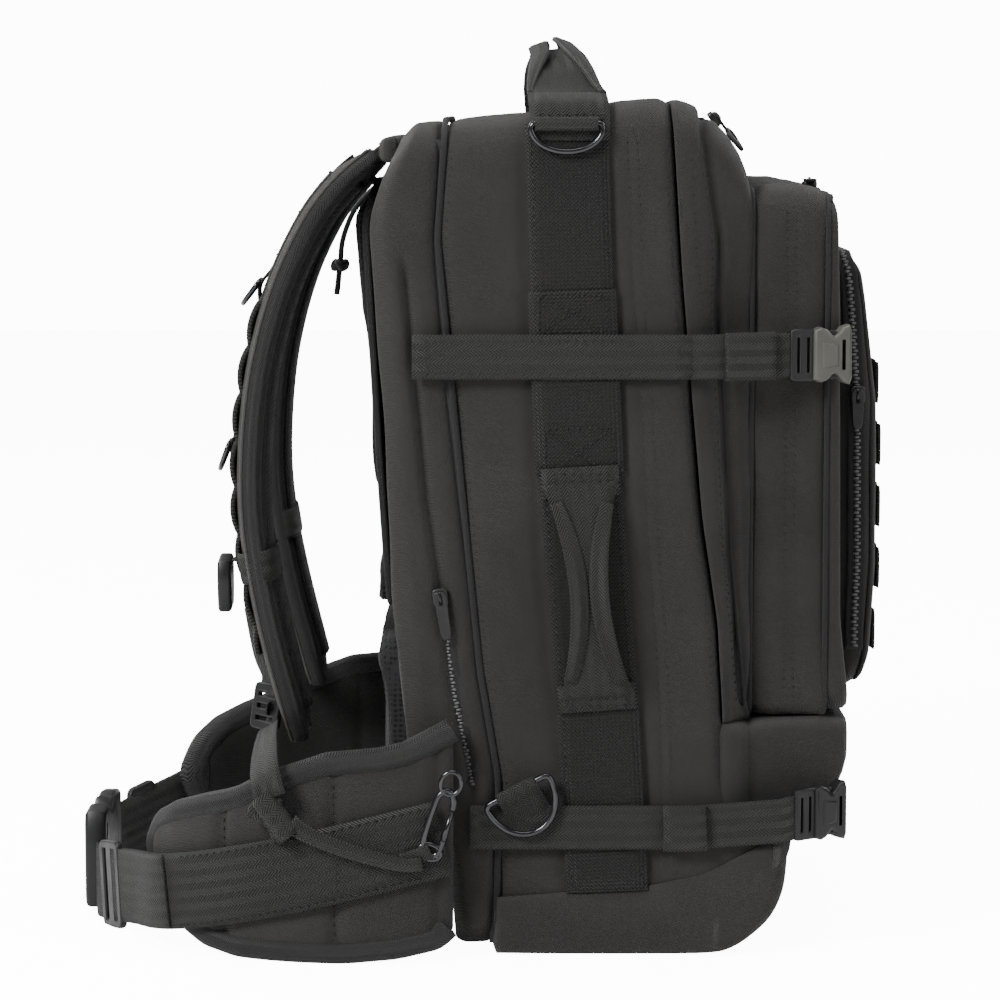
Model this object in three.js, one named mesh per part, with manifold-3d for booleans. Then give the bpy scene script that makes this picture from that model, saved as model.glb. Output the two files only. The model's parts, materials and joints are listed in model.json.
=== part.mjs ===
// A large day-and-a-half backpack for medical kit, standing on its flat base.
// Millimetres, +Z up. X runs from the wearer's back (-X, harness) to the pockets (+X),
// and -Y is the wearer's left side. The origin is a point on the flat base, midway across.
import * as THREE from "three";
import { mergeVertices } from "three/addons/utils/BufferGeometryUtils.js";
import Module from "manifold-3d";

const wasm = await Module();
wasm.setup();

// ---- driving dimensions -------------------------------------------------------------
const GAP = 0.4; // between touching pieces
const SIDE = 178; // outer face of the side panels, from the middle plane
const WALL = 3.5; // padded fabric wall
const FLOOR_WALL = 6; // padded base
const WEBBING = 2; // thickness of woven strap
const WIDE_WEB = 50; // two inch strap
const STRAP = 27; // one inch strap with its bound edges
const TOP_UNDERSIDE = 489.5; // the top panel is thicker towards the front
const DOOR_BOTTOM = 141; // the front of the pack folds down above this height
const DOOR_FRONT = 78;
const POCKET_HALF = 145;
const POCKET_FRONT = 132.7;
const POCKET_TOP = 460;
const ADMIN_HALF = 116;
const ADMIN_BOTTOM = 155;
const ADMIN_TOP = 418;
const RING_WIDTH = 46;
const RING_WIRE = 4.4;
const SHOULDER_INNER = 75; // nearest edge of a shoulder strap, from the middle plane
const SHOULDER_OUTER = 145;

// Edges of the compartments seen from the side, as [height, x] stations.
const BACK_EDGE = [[0, -96], [60, -101], [125, -127], [300, -139], [440, -147], [470, -137], [499, -123]];
const REAR_SEAM = [[0, -72], [107, -71], [173, -82], [346, -99], [430, -107], [499, -102]];
const MAIN_ZIP = [[60, 66], [200, 60], [300, 47], [420, 37], [513, 31]];
const ADMIN_FACE = [[142, 147], [175, 156], [231, 160], [330, 160], [390, 153], [418, 146]];

// ---- geometry helpers -----------------------------------------------------------------
function stationX(stations, z) {
  const next = stations.findIndex(([height]) => height >= z);
  if (next <= 0) return next === 0 ? stations[0][1] : stations.at(-1)[1];
  const [z0, x0] = stations[next - 1];
  const [z1, x1] = stations[next];
  return x0 + ((x1 - x0) * (z - z0)) / (z1 - z0);
}

// The points of a compartment edge between two heights, moved along X.
function edge(stations, low, high, shift = 0) {
  const heights = [low, ...stations.map(([z]) => z).filter((z) => z > low + 1 && z < high - 1), high];
  return heights.map((z) => [stationX(stations, z) + shift, z]);
}

function outline(points) {
  return new THREE.Shape(points.map(([a, b]) => new THREE.Vector2(a, b)));
}

// A closed line of points turned anticlockwise, as extrusion expects.
function extrude(points, depth, holes = []) {
  const shape = outline(points);
  shape.holes = holes.map(outline);
  return new THREE.ExtrudeGeometry(shape, { depth, bevelEnabled: false });
}

const FROM_XZ = new THREE.Matrix4().makeBasis(
  new THREE.Vector3(1, 0, 0),
  new THREE.Vector3(0, 0, 1),
  new THREE.Vector3(0, -1, 0),
);
const FROM_YZ = new THREE.Matrix4().makeBasis(
  new THREE.Vector3(0, 1, 0),
  new THREE.Vector3(0, 0, 1),
  new THREE.Vector3(1, 0, 0),
);

// Outline in X and Z, solid between two values of Y.
function sideSlab(points, y0, y1, holes = []) {
  return extrude(points, y1 - y0, holes).applyMatrix4(FROM_XZ).translate(0, y1, 0);
}

// Outline in X and Y, solid between two heights.
function planSlab(points, z0, z1, holes = []) {
  return extrude(points, z1 - z0, holes).translate(0, 0, z0);
}

// Outline in Y and Z, solid between two values of X.
function frontSlab(points, x0, x1, holes = []) {
  return extrude(points, x1 - x0, holes).applyMatrix4(FROM_YZ).translate(x0, 0, 0);
}

function rectangle(a0, a1, b0, b1) {
  return [[a0, b0], [a1, b0], [a1, b1], [a0, b1]];
}

// A strip of even thickness whose left-hand side follows the points.
function band(points, thickness) {
  const shifted = points.map(([a, b], i) => {
    const [a0, b0] = points[Math.max(i - 1, 0)];
    const [a1, b1] = points[Math.min(i + 1, points.length - 1)];
    const length = Math.hypot(a1 - a0, b1 - b0);
    return [a - ((b1 - b0) / length) * thickness, b + ((a1 - a0) / length) * thickness];
  });
  return [...points, ...shifted.reverse()];
}

// The same strip, half its thickness on each side of the points.
function centredBand(points, thickness) {
  const right = band(points, -thickness / 2).slice(points.length);
  const left = band(points, thickness / 2).slice(points.length);
  return [...right.reverse(), ...left];
}

function smooth(points, pieces) {
  const curve = new THREE.SplineCurve(points.map(([a, b]) => new THREE.Vector2(a, b)));
  return curve.getPoints(pieces).map((p) => [p.x, p.y]);
}

function toSolid(geometry) {
  const bare = new THREE.BufferGeometry().setAttribute("position", geometry.getAttribute("position"));
  if (geometry.index) bare.setIndex(geometry.index);
  const merged = mergeVertices(bare, 1e-3);
  return new wasm.Manifold(
    new wasm.Mesh({
      numProp: 3,
      vertProperties: new Float32Array(merged.attributes.position.array),
      triVerts: new Uint32Array(merged.index.array),
    }),
  );
}

function fromSolid(solid) {
  const mesh = solid.getMesh();
  const geometry = new THREE.BufferGeometry();
  geometry.setAttribute("position", new THREE.BufferAttribute(mesh.vertProperties, 3));
  geometry.setIndex(new THREE.BufferAttribute(mesh.triVerts, 1));
  geometry.computeVertexNormals();
  return geometry;
}

const union = (...parts) => fromSolid(parts.map(toSolid).reduce((a, b) => a.add(b)));
const common = (a, b) => fromSolid(toSolid(a).intersect(toSolid(b)));
const cut = (a, ...tools) => fromSolid(tools.map(toSolid).reduce((s, t) => s.subtract(t), toSolid(a)));

// ---- materials --------------------------------------------------------------------------
function paint(color, roughness, metalness = 0) {
  return new THREE.MeshStandardMaterial({ color, roughness, metalness });
}
const SHELL = paint(0x1c1c1d, 0.85);
const WEB = paint(0x161616, 0.8);
const PADDING = paint(0x121213, 0.95);
const PLASTIC = paint(0x202021, 0.45);
const OLIVE_PLASTIC = paint(0x4c4b45, 0.45);
const STEEL = paint(0x2a2a2b, 0.25, 1);
const SHEET = paint(0xd8d8d4, 0.5);
const ALUMINIUM = paint(0xb9bcc0, 0.35, 1);
const CORD = paint(0x141414, 0.8);

// ---- assembly -----------------------------------------------------------------------------
const pack = new THREE.Group();

function add(name, geometry, material) {
  const mesh = new THREE.Mesh(geometry, material.clone());
  mesh.name = name;
  pack.add(mesh);
  return mesh;
}

// A left piece and its mirror image on the right.
function addPair(name, geometry, material) {
  add(name + "_left", geometry, material);
  add(name + "_right", geometry, material).scale.y = -1;
}

// ---- rear section: padded back, stiffening sheet, stay and the wall in front of them ----
const STAY_WIDTH = 30;

function rearSection() {
  const width = SIDE - 6;
  const backLow = 7;
  const backHigh = TOP_UNDERSIDE - 1;
  const padding = 13;
  const layer = (low, high, from, to, half) =>
    sideSlab(
      [...edge(BACK_EDGE, low, high, to), ...edge(BACK_EDGE, low, high, from).reverse()],
      -half,
      half,
    );
  add("back_panel", layer(backLow, backHigh, 0, padding, width), PADDING);
  add("frame_sheet", layer(20, 468, padding + 0.6, padding + 2.2, 140), SHEET);
  const stay = sideSlab(
    [...edge(BACK_EDGE, 30, 460, padding + 5.6), ...edge(BACK_EDGE, 30, 460, padding + 2.8).reverse()],
    -STAY_WIDTH / 2,
    STAY_WIDTH / 2,
  );
  add("stay", stay, ALUMINIUM);
  const divider = [
    ...edge(REAR_SEAM, backLow, backHigh, -1),
    ...edge(REAR_SEAM, backLow, backHigh, -1 - WALL).reverse(),
  ];
  add("rear_divider", sideSlab(divider, -width, width), SHELL);
  const gusset = [
    ...edge(REAR_SEAM, backLow, backHigh, -GAP),
    ...edge(BACK_EDGE, backLow, backHigh, 0).reverse(),
  ];
  addPair("back_gusset", sideSlab(gusset, -(SIDE - 2), -(width + GAP)), SHELL);
  const pad = (low, high, thickness, half) => layer(low, high, -thickness, -0.6, half);
  add("lumbar_pad", pad(45, 185, 17, 112), PADDING);
  add("strap_yoke", pad(474, 488, 9, 150), WEB);
}

// ---- main compartment: sides, top, base and the fixed pocket at the bottom front -----------
function mainSection() {
  const side = [
    ...edge(MAIN_ZIP, 141, TOP_UNDERSIDE - 0.6, -GAP),
    ...edge(REAR_SEAM, 7, TOP_UNDERSIDE - 0.6, GAP).reverse(),
    [56, 7],
    [85, 27],
    [93, 44],
    [96, 73],
    [78, 73],
    [78, 139.6],
  ];
  addPair("side_panel", sideSlab(side, -SIDE, -(SIDE - WALL)), SHELL);
  const top = [
    [-129, TOP_UNDERSIDE],
    [30.5, TOP_UNDERSIDE],
    [30.5, 513],
    [12, 511],
    [-54, 504],
    [-99, 498.5],
    [-122, 499],
  ];
  add("top_panel", sideSlab(top, -SIDE, SIDE), SHELL);
  const base = [[-96, 0], [56, 0], [77, 9], [94, 24], [101, 42], [103, 74]];
  add("base_cover", sideSlab(band(base, FLOOR_WALL), -SIDE, SIDE), SHELL);
  const low = sideSlab(
    [[79, 77], [104, 77], [128, 88], [137, 108], [142.5, 125], [142.5, 139.5], [79, 139.5]],
    -172,
    172,
  );
  const plan = planSlab(
    [[70, -172], [82, -172], [104, -158], [150, -140], [150, 140], [104, 158], [82, 172], [70, 172]],
    60,
    150,
  );
  add("lower_pocket", common(low, plan), SHELL);
}

// ---- woven strap sewn down each side ---------------------------------------------------------
const WEB_CENTRE = [[42, -5.7], [156, -12], [285, -22.5], [396, -27.6], [497, -30.8]];

function sideWebbing() {
  const half = WIDE_WEB / 2 - 0.5;
  const strip = [...edge(WEB_CENTRE, 42, 497, half), ...edge(WEB_CENTRE, 42, 497, -half).reverse()];
  addPair("side_web", sideSlab(strip, -(SIDE + 0.3 + WEBBING), -(SIDE + 0.3)), WEB);
}

// ---- compression straps and their side-release buckles ---------------------------------------
const STRAP_FACE = SIDE + 0.8 + WEBBING; // inner face of the straps, outside the side webbing
const UPPER_HINGE = [43, -(STRAP_FACE + WEBBING / 2)];
const BUCKLE_BASE = 15;
const BUCKLE_LENGTH = 35;

// Both halves lie along local X, with the strap coming in at the origin.
function maleBuckle() {
  const body = new THREE.BoxGeometry(BUCKLE_BASE, 8, STRAP + 1).translate(BUCKLE_BASE / 2, 0, 0);
  const slot = new THREE.BoxGeometry(3, 20, STRAP - 3);
  const prong = new THREE.BoxGeometry(17, 4, 4.5);
  return union(
    cut(body, slot.clone().translate(4, 0, 0)),
    prong.clone().translate(BUCKLE_BASE + 7.5, 0, 7.5),
    prong.clone().translate(BUCKLE_BASE + 7.5, 0, -7.5),
  );
}

function femaleBuckle() {
  const length = BUCKLE_LENGTH - BUCKLE_BASE - GAP;
  const start = BUCKLE_BASE + GAP;
  const body = new THREE.BoxGeometry(length, 11, STRAP + 2).translate(start + length / 2, 0, 0);
  const mouth = new THREE.BoxGeometry(2 * (length - 2.5), 6.4, STRAP - 4).translate(start, 0, 0);
  return cut(body, mouth);
}

function placeBuckle(geometry, corner, angle, z) {
  return geometry.rotateZ(angle).translate(corner[0], corner[1], z);
}

function compressionStraps() {
  const flat = (x0, x1) => rectangle(x0, x1, -(STRAP_FACE + WEBBING), -STRAP_FACE);
  addPair("upper_strap", planSlab(flat(-122, UPPER_HINGE[0] - 0.3), 347.5, 347.5 + STRAP), WEB);
  const tail = [[UPPER_HINGE[0] + 3.6, -180.9], [80, -170], [102.6, -164]];
  addPair("upper_strap_end", planSlab(band(tail, -WEBBING).reverse(), 347.5, 347.5 + STRAP), WEB);
  const upper = [103, -164.9];
  const upperAngle = 0.285;
  addPair("upper_male", placeBuckle(maleBuckle(), upper, upperAngle, 361), PLASTIC);
  addPair("upper_female", placeBuckle(femaleBuckle(), upper, upperAngle, 361), OLIVE_PLASTIC);
  const lowerPath = [[-88, -STRAP_FACE], [98, -STRAP_FACE], [106, -177]];
  addPair("lower_strap", planSlab(band(lowerPath, -WEBBING).reverse(), 66, 66 + STRAP), WEB);
  const lower = [106.5, -177.6];
  const lowerAngle = 0.61;
  addPair("lower_male", placeBuckle(maleBuckle(), lower, lowerAngle, 84), PLASTIC);
  addPair("lower_female", placeBuckle(femaleBuckle(), lower, lowerAngle, 84), PLASTIC);
}

// ---- front of the pack: the fold-down door, its pocket and the organiser pocket ----------------
const DOOR_SKIN = [[DOOR_FRONT + 2, 440], [76, 466], [68, 483], [60, 495], [50, 502], [33.5, 508.5]];

function doorShell() {
  const face = [[DOOR_FRONT, DOOR_BOTTOM], [DOOR_FRONT, 400], ...DOOR_SKIN];
  const skin = sideSlab(band(face, WALL + 0.5), -SIDE, SIDE);
  const taper = (grow) => [
    [20, -(176 - grow)],
    [33, -(172 - grow)],
    [DOOR_FRONT + 3, -(149 - grow)],
    [DOOR_FRONT + 3, 149 - grow],
    [33, 172 - grow],
    [20, 176 - grow],
  ];
  const filled = sideSlab(
    [...face, ...edge(MAIN_ZIP, DOOR_BOTTOM, 505, GAP).reverse()],
    -SIDE,
    SIDE,
  );
  const walls = cut(planSlab(taper(0), 130, 520), planSlab(taper(WALL), 120, 530));
  return union(common(skin, planSlab(taper(0), 130, 520)), common(filled, walls));
}

// An open frame: the four sides of a box pocket.
function pocketFrame(x0, x1, half, bottom, top) {
  return frontSlab(rectangle(-half, half, bottom, top), x0, x1, [
    rectangle(-half + WALL, half - WALL, bottom + WALL, top - WALL).reverse(),
  ]);
}

function front() {
  add("door_shell", doorShell(), SHELL);
  const pocketBack = DOOR_FRONT + 2 + GAP;
  const panelBack = POCKET_FRONT - 4;
  const pocketBottom = DOOR_BOTTOM + 1.5;
  add(
    "pocket_gusset",
    pocketFrame(pocketBack, panelBack - GAP, POCKET_HALF, pocketBottom, POCKET_TOP),
    SHELL,
  );
  add(
    "pocket_panel",
    frontSlab(rectangle(-POCKET_HALF, POCKET_HALF, pocketBottom, POCKET_TOP - 3), panelBack, POCKET_FRONT),
    SHELL,
  );
  const adminProfile = (back) => [
    ...edge(ADMIN_FACE, ADMIN_BOTTOM, ADMIN_TOP, 0),
    ...edge(ADMIN_FACE, ADMIN_BOTTOM, ADMIN_TOP, -back).reverse(),
  ];
  add("admin_panel", sideSlab(adminProfile(4), -ADMIN_HALF, ADMIN_HALF), SHELL);
  const frame = pocketFrame(POCKET_FRONT + GAP, 170, ADMIN_HALF, ADMIN_BOTTOM, ADMIN_TOP);
  const behind = sideSlab(
    [
      [POCKET_FRONT, ADMIN_BOTTOM - 1],
      ...edge(ADMIN_FACE, ADMIN_BOTTOM - 1, ADMIN_TOP + 1, -4 - GAP),
      [POCKET_FRONT, ADMIN_TOP + 1],
    ],
    -SIDE,
    SIDE,
  );
  add("admin_gusset", common(frame, behind), SHELL);
}

// ---- handles ----------------------------------------------------------------------------------
function handles() {
  const arch = [[-140, 516], [-100, 530], [-50, 541], [0, 546], [50, 541], [100, 530], [140, 516]];
  const strip = frontSlab(band(arch, 4), -60, 0);
  const plan = planSlab(
    [[-36, -141], [-24, -141], [-16, 0], [-24, 141], [-36, 141], [-44, 0]],
    500,
    560,
  );
  add("carry_handle", common(strip, plan), WEB);
  const grip = [[-186, 165], [-195, 180], [-199, 222], [-195, 264], [-186, 280]];
  const bar = frontSlab(band(grip, -4).reverse(), -60, 30);
  const leanTop = stationX(WEB_CENTRE, 281);
  const leanLow = stationX(WEB_CENTRE, 164);
  const narrow = [
    [leanLow - 5, 164],
    [leanLow + 5, 164],
    [(leanTop + leanLow) / 2 + 9, 222],
    [leanTop + 5, 281],
    [leanTop - 5, 281],
    [(leanTop + leanLow) / 2 - 9, 222],
  ];
  addPair("side_handle", common(bar, sideSlab(narrow, -210, -170)), WEB);
}

// ---- D-rings: the straight bar along local X, the bow hanging down --------------------------------
function dRing(depth) {
  const bow = (inset) => {
    const a = RING_WIDTH / 2 - inset;
    const b = depth - inset;
    const points = [];
    const steps = 10;
    for (let i = 0; i <= steps; i += 1) {
      const t = Math.PI * (1 + i / steps);
      points.push([a * Math.cos(t), b * Math.sin(t)]);
    }
    return points;
  };
  const outer = [...bow(0), [RING_WIDTH / 2, RING_WIRE / 2], [-RING_WIDTH / 2, RING_WIRE / 2]];
  const inner = bow(RING_WIRE).map(([x, z]) => [x, Math.min(z, -RING_WIRE / 2)]);
  return sideSlab(outer, -RING_WIRE / 2, RING_WIRE / 2, [inner.reverse()]);
}

function rings() {
  addPair("top_ring", dRing(22).translate(-30.8, -184.2, 497), STEEL);
  const lean = 0.49;
  addPair("lower_ring", dRing(27).rotateY(-lean).translate(-59, -186.8, 100.5), STEEL);
}

// ---- shoulder harness ---------------------------------------------------------------------------------
const STRAP_LINE = [
  [-150, 476], [-184, 436], [-203, 396], [-216, 345], [-221, 290],
  [-219, 245], [-210, 195], [-197, 143], [-192, 122],
];

function shoulderHarness() {
  const line = smooth(STRAP_LINE, 18);
  const strap = sideSlab(centredBand(line, 22), -SHOULDER_OUTER, -SHOULDER_INNER);
  addPair("shoulder_strap", strap, PADDING);
  const half = sideSlab(rectangle(-244, -234, 198, 240), -126, -98);
  addPair("sternum_buckle", half, PLASTIC);
}

// ---- hip belt --------------------------------------------------------------------------------------------
const WING_LINE = [[-101, -191], [-140, -193], [-190, -190], [-230, -176], [-262, -150], [-282, -118]];
const BELT_SLOPE = 0.17; // the belt's strap drops towards the buckle

function hipBelt() {
  const plan = planSlab(centredBand(smooth(WING_LINE, 12), 16), 0, 160);
  const side = sideSlab(
    [
      [-100, 17], [-100, 146], [-124, 131], [-172, 124], [-204, 113], [-230, 101], [-255, 92],
      [-270, 82], [-279, 66], [-274, 40], [-258, 15], [-240, 4], [-165, 1], [-130, 4], [-109, 10],
    ].reverse(),
    -230,
    -90,
  );
  addPair("hip_wing", common(plan, side), PADDING);

  const line = smooth(
    [[-125, -202], [-160, -203], [-194, -199.5], [-237, -184.5], [-272, -158], [-292, -124], [-312, -90]],
    14,
  );
  const slope = new THREE.Matrix4().makeShear(0, BELT_SLOPE, 0, 0, 0, 0);
  const belt = (end) =>
    planSlab(centredBand([...line, [-322, -70], [-325, end]], WEBBING), 5, 51)
      .translate(300, 0, 0)
      .applyMatrix4(slope)
      .translate(-300, 0, 0);
  add("hip_web_left", belt(-61), WEB);
  add("hip_web_right", belt(-46), WEB).scale.y = -1;

  const shell = new THREE.BoxGeometry(15, 58, 56).translate(-326, -29, 34);
  const mouth = new THREE.BoxGeometry(9, 60, 42).translate(-326, 0, 34);
  add("hip_buckle_female", cut(shell, mouth), PLASTIC);
  const plate = new THREE.BoxGeometry(12, 42, 50).translate(-326, 22, 34);
  const prong = new THREE.BoxGeometry(6, 26, 7);
  const male = union(
    plate,
    prong.clone().translate(-326, -10, 20),
    prong.clone().translate(-326, -10, 34),
    prong.clone().translate(-326, -10, 48),
  );
  add("hip_buckle_male", male, PLASTIC);
}

// ---- snap hooks and the free straps they hold -----------------------------------------------------------
function stadium(width, height) {
  const radius = width / 2;
  const reach = height / 2 - radius;
  const points = [];
  for (const end of [1, -1]) {
    for (let i = 0; i <= 4; i += 1) {
      const t = (Math.PI * i) / 4 + (end < 0 ? Math.PI : 0);
      points.push([radius * Math.cos(t), end * reach + radius * Math.sin(t)]);
    }
  }
  return points;
}

function tube(points, radius, sides, steps) {
  const path = new THREE.CatmullRomCurve3(points.map((p) => new THREE.Vector3(...p)));
  const section = new THREE.Shape();
  for (let i = 0; i < sides; i += 1) {
    const t = (2 * Math.PI * i) / sides;
    if (i === 0) section.moveTo(radius, 0);
    else section.lineTo(radius * Math.cos(t), radius * Math.sin(t));
  }
  return new THREE.ExtrudeGeometry(section, { steps, extrudePath: path, bevelEnabled: false });
}

const ADJUSTER_LINE = [
  [-205, -112, 112], [-210, -118, 132], [-209, -150, 134], [-207, -185, 132], [-206, -206, 120],
  [-202, -210, 100], [-190, -210, 82], [-165, -210, 70], [-130, -209.5, 62], [-116, -209, 60],
];
const CORD_LINE = [
  [-142, -60, 462], [-148, -60, 458], [-155, -60, 451], [-161, -60, 443], [-165, -60, 434], [-168, -60, 424],
  [-169, -60, 414], [-170, -60, 404],
];
const CORD_RADIUS = 1.75;

function trim() {
  addPair("adjuster_web", tube(ADJUSTER_LINE, 3, 8, 24), WEB);
  const hook = sideSlab(stadium(16, 46), -2.5, 2.5, [stadium(8, 34).reverse()]);
  addPair("snap_hook", hook.rotateY(0.3).translate(-106, -207, 88), STEEL);
  add("pull_cord", tube(CORD_LINE, CORD_RADIUS, 8, 14), CORD);
}

// ---- zip sliders with their pulls -------------------------------------------------------------------------
function zipSliders() {
  const lean = Math.atan2(19, 122);
  const pull = [[-4, 0], [4, 0], [4, -8], [2.5, -30], [-2.5, -30], [-4, -8]].reverse();
  add(
    "back_zip_slider",
    sideSlab(pull, -1.7, 1.7).rotateY(-lean).translate(-105, -(SIDE + 0.4), 222),
    STEEL,
  );
  add("pocket_zip_slider", new THREE.BoxGeometry(7, 24, 3.4).translate(120, -90, POCKET_TOP + 2.3), STEEL);
  add("admin_zip_slider", new THREE.BoxGeometry(7, 3.4, 24).translate(147, -(ADMIN_HALF + 2.3), 324), STEEL);
  const top = [[62.5, 500], [73, 487], [76, 489.5], [65.5, 502.5]];
  add("main_zip_slider", sideSlab(top, -70, -56), STEEL);
}

rearSection();
mainSection();
sideWebbing();
compressionStraps();
front();
handles();
rings();
shoulderHarness();
hipBelt();
trim();
zipSliders();

export default pack;
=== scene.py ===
import json
import math

import bpy
import numpy as np
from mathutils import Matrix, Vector, noise
from mathutils.bvhtree import BVHTree

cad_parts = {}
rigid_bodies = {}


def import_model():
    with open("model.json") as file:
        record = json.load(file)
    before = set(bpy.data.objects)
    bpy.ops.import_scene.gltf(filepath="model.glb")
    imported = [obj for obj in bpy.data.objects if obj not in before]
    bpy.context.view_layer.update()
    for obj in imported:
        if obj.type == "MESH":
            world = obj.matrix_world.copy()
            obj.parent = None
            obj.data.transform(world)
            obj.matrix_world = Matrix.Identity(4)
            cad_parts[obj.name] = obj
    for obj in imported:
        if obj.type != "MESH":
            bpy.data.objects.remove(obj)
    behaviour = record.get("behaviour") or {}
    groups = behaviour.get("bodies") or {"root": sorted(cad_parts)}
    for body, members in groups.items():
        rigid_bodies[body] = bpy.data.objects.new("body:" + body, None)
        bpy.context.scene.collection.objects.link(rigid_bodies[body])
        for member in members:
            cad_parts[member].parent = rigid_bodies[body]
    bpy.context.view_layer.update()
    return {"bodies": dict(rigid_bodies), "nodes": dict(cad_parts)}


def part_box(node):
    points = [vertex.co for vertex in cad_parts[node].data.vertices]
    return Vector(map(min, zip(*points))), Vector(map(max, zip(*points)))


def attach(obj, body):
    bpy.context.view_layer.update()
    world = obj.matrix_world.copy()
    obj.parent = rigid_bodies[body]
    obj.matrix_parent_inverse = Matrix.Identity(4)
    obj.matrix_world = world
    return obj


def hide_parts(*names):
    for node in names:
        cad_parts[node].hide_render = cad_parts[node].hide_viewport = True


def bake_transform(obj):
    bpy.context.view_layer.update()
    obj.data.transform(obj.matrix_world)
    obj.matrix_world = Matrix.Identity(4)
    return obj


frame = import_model()

# Shapes are worked out in millimetres in the frame's axes and turned into metres when a mesh is made.
MM = 0.001
LEFT, RIGHT = -1, 1
SIDE_NAMES = {LEFT: "left", RIGHT: "right"}


def box_mm(node):
    low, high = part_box(node)
    return np.array(low) / MM, np.array(high) / MM


# ---------------------------------------------------------------- camera, light and floor
VIEW_DISTANCE = 2.3
VIEW_ELEVATION = math.radians(6.2)
VIEW_CENTRE = Vector((-0.070, 0, 0.2566))
VIEW_LENS = 128.8
WORLD_LIGHT, WORLD_SEEN, FLOOR_GLOW = 0.22, 13.0, 11.5


def make_camera():
    data = bpy.data.cameras.new("camera")
    data.lens = VIEW_LENS
    data.sensor_width = 36
    camera = bpy.data.objects.new("camera", data)
    back = Vector((0, -math.cos(VIEW_ELEVATION), math.sin(VIEW_ELEVATION)))
    camera.location = VIEW_CENTRE + back * VIEW_DISTANCE
    camera.rotation_euler = (math.pi / 2 - VIEW_ELEVATION, 0, 0)
    bpy.context.scene.collection.objects.link(camera)
    bpy.context.scene.camera = camera


def area_light(name, location, target, size, power):
    data = bpy.data.lights.new(name, "AREA")
    data.shape = "RECTANGLE"
    data.size, data.size_y = size
    data.energy = power
    light = bpy.data.objects.new(name, data)
    light.location = location
    light.rotation_euler = (Vector(target) - Vector(location)).to_track_quat("-Z", "Y").to_euler()
    bpy.context.scene.collection.objects.link(light)


def make_lights():
    middle = (-0.05, 0, 0.25)
    area_light("key", (-1.7, -1.9, 1.8), middle, (0.9, 0.9), 200)
    area_light("fill", (1.9, -1.5, 1.1), middle, (1.4, 1.6), 32)
    area_light("rear", (-1.6, 1.8, 1.5), middle, (1.6, 1.6), 48)
    area_light("rim", (1.6, 1.7, 1.6), middle, (1.4, 1.4), 40)
    area_light("top", (0, -0.3, 2.6), middle, (1.6, 1.6), 85)
    world = bpy.data.worlds.new("studio")
    world.use_nodes = True
    background = world.node_tree.nodes["Background"]
    background.inputs["Color"].default_value = (1, 1, 1, 1)
    brighter_when_seen(world.node_tree, background.inputs["Strength"], WORLD_LIGHT, WORLD_SEEN)
    bpy.context.scene.world = world


def brighter_when_seen(tree, socket, light, seen):
    """The backdrop is white to the camera and lights the pack only softly."""
    ray = tree.nodes.new("ShaderNodeLightPath").outputs["Is Camera Ray"]
    strength = tree.nodes.new("ShaderNodeMapRange")
    strength.inputs["To Min"].default_value = light
    strength.inputs["To Max"].default_value = seen
    tree.links.new(ray, strength.inputs["Value"])
    tree.links.new(strength.outputs["Result"], socket)


def make_floor():
    size = 6.0
    mesh = bpy.data.meshes.new("floor")
    corners = [(-size, -size, 0), (size, -size, 0), (size, size, 0), (-size, size, 0)]
    mesh.from_pydata(corners, [], [(0, 1, 2, 3)])
    floor = bpy.data.objects.new("floor", mesh)
    bpy.context.scene.collection.objects.link(floor)
    material = bpy.data.materials.new("floor")
    material.use_nodes = True
    shader = material.node_tree.nodes["Principled BSDF"]
    shader.inputs["Base Color"].default_value = (0.93, 0.93, 0.93, 1)
    shader.inputs["Roughness"].default_value = 0.9
    shader.inputs["Emission Color"].default_value = (1, 1, 1, 1)
    brighter_when_seen(material.node_tree, shader.inputs["Emission Strength"], 0, FLOOR_GLOW)
    mesh.materials.append(material)


make_camera()
make_lights()
make_floor()


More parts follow.
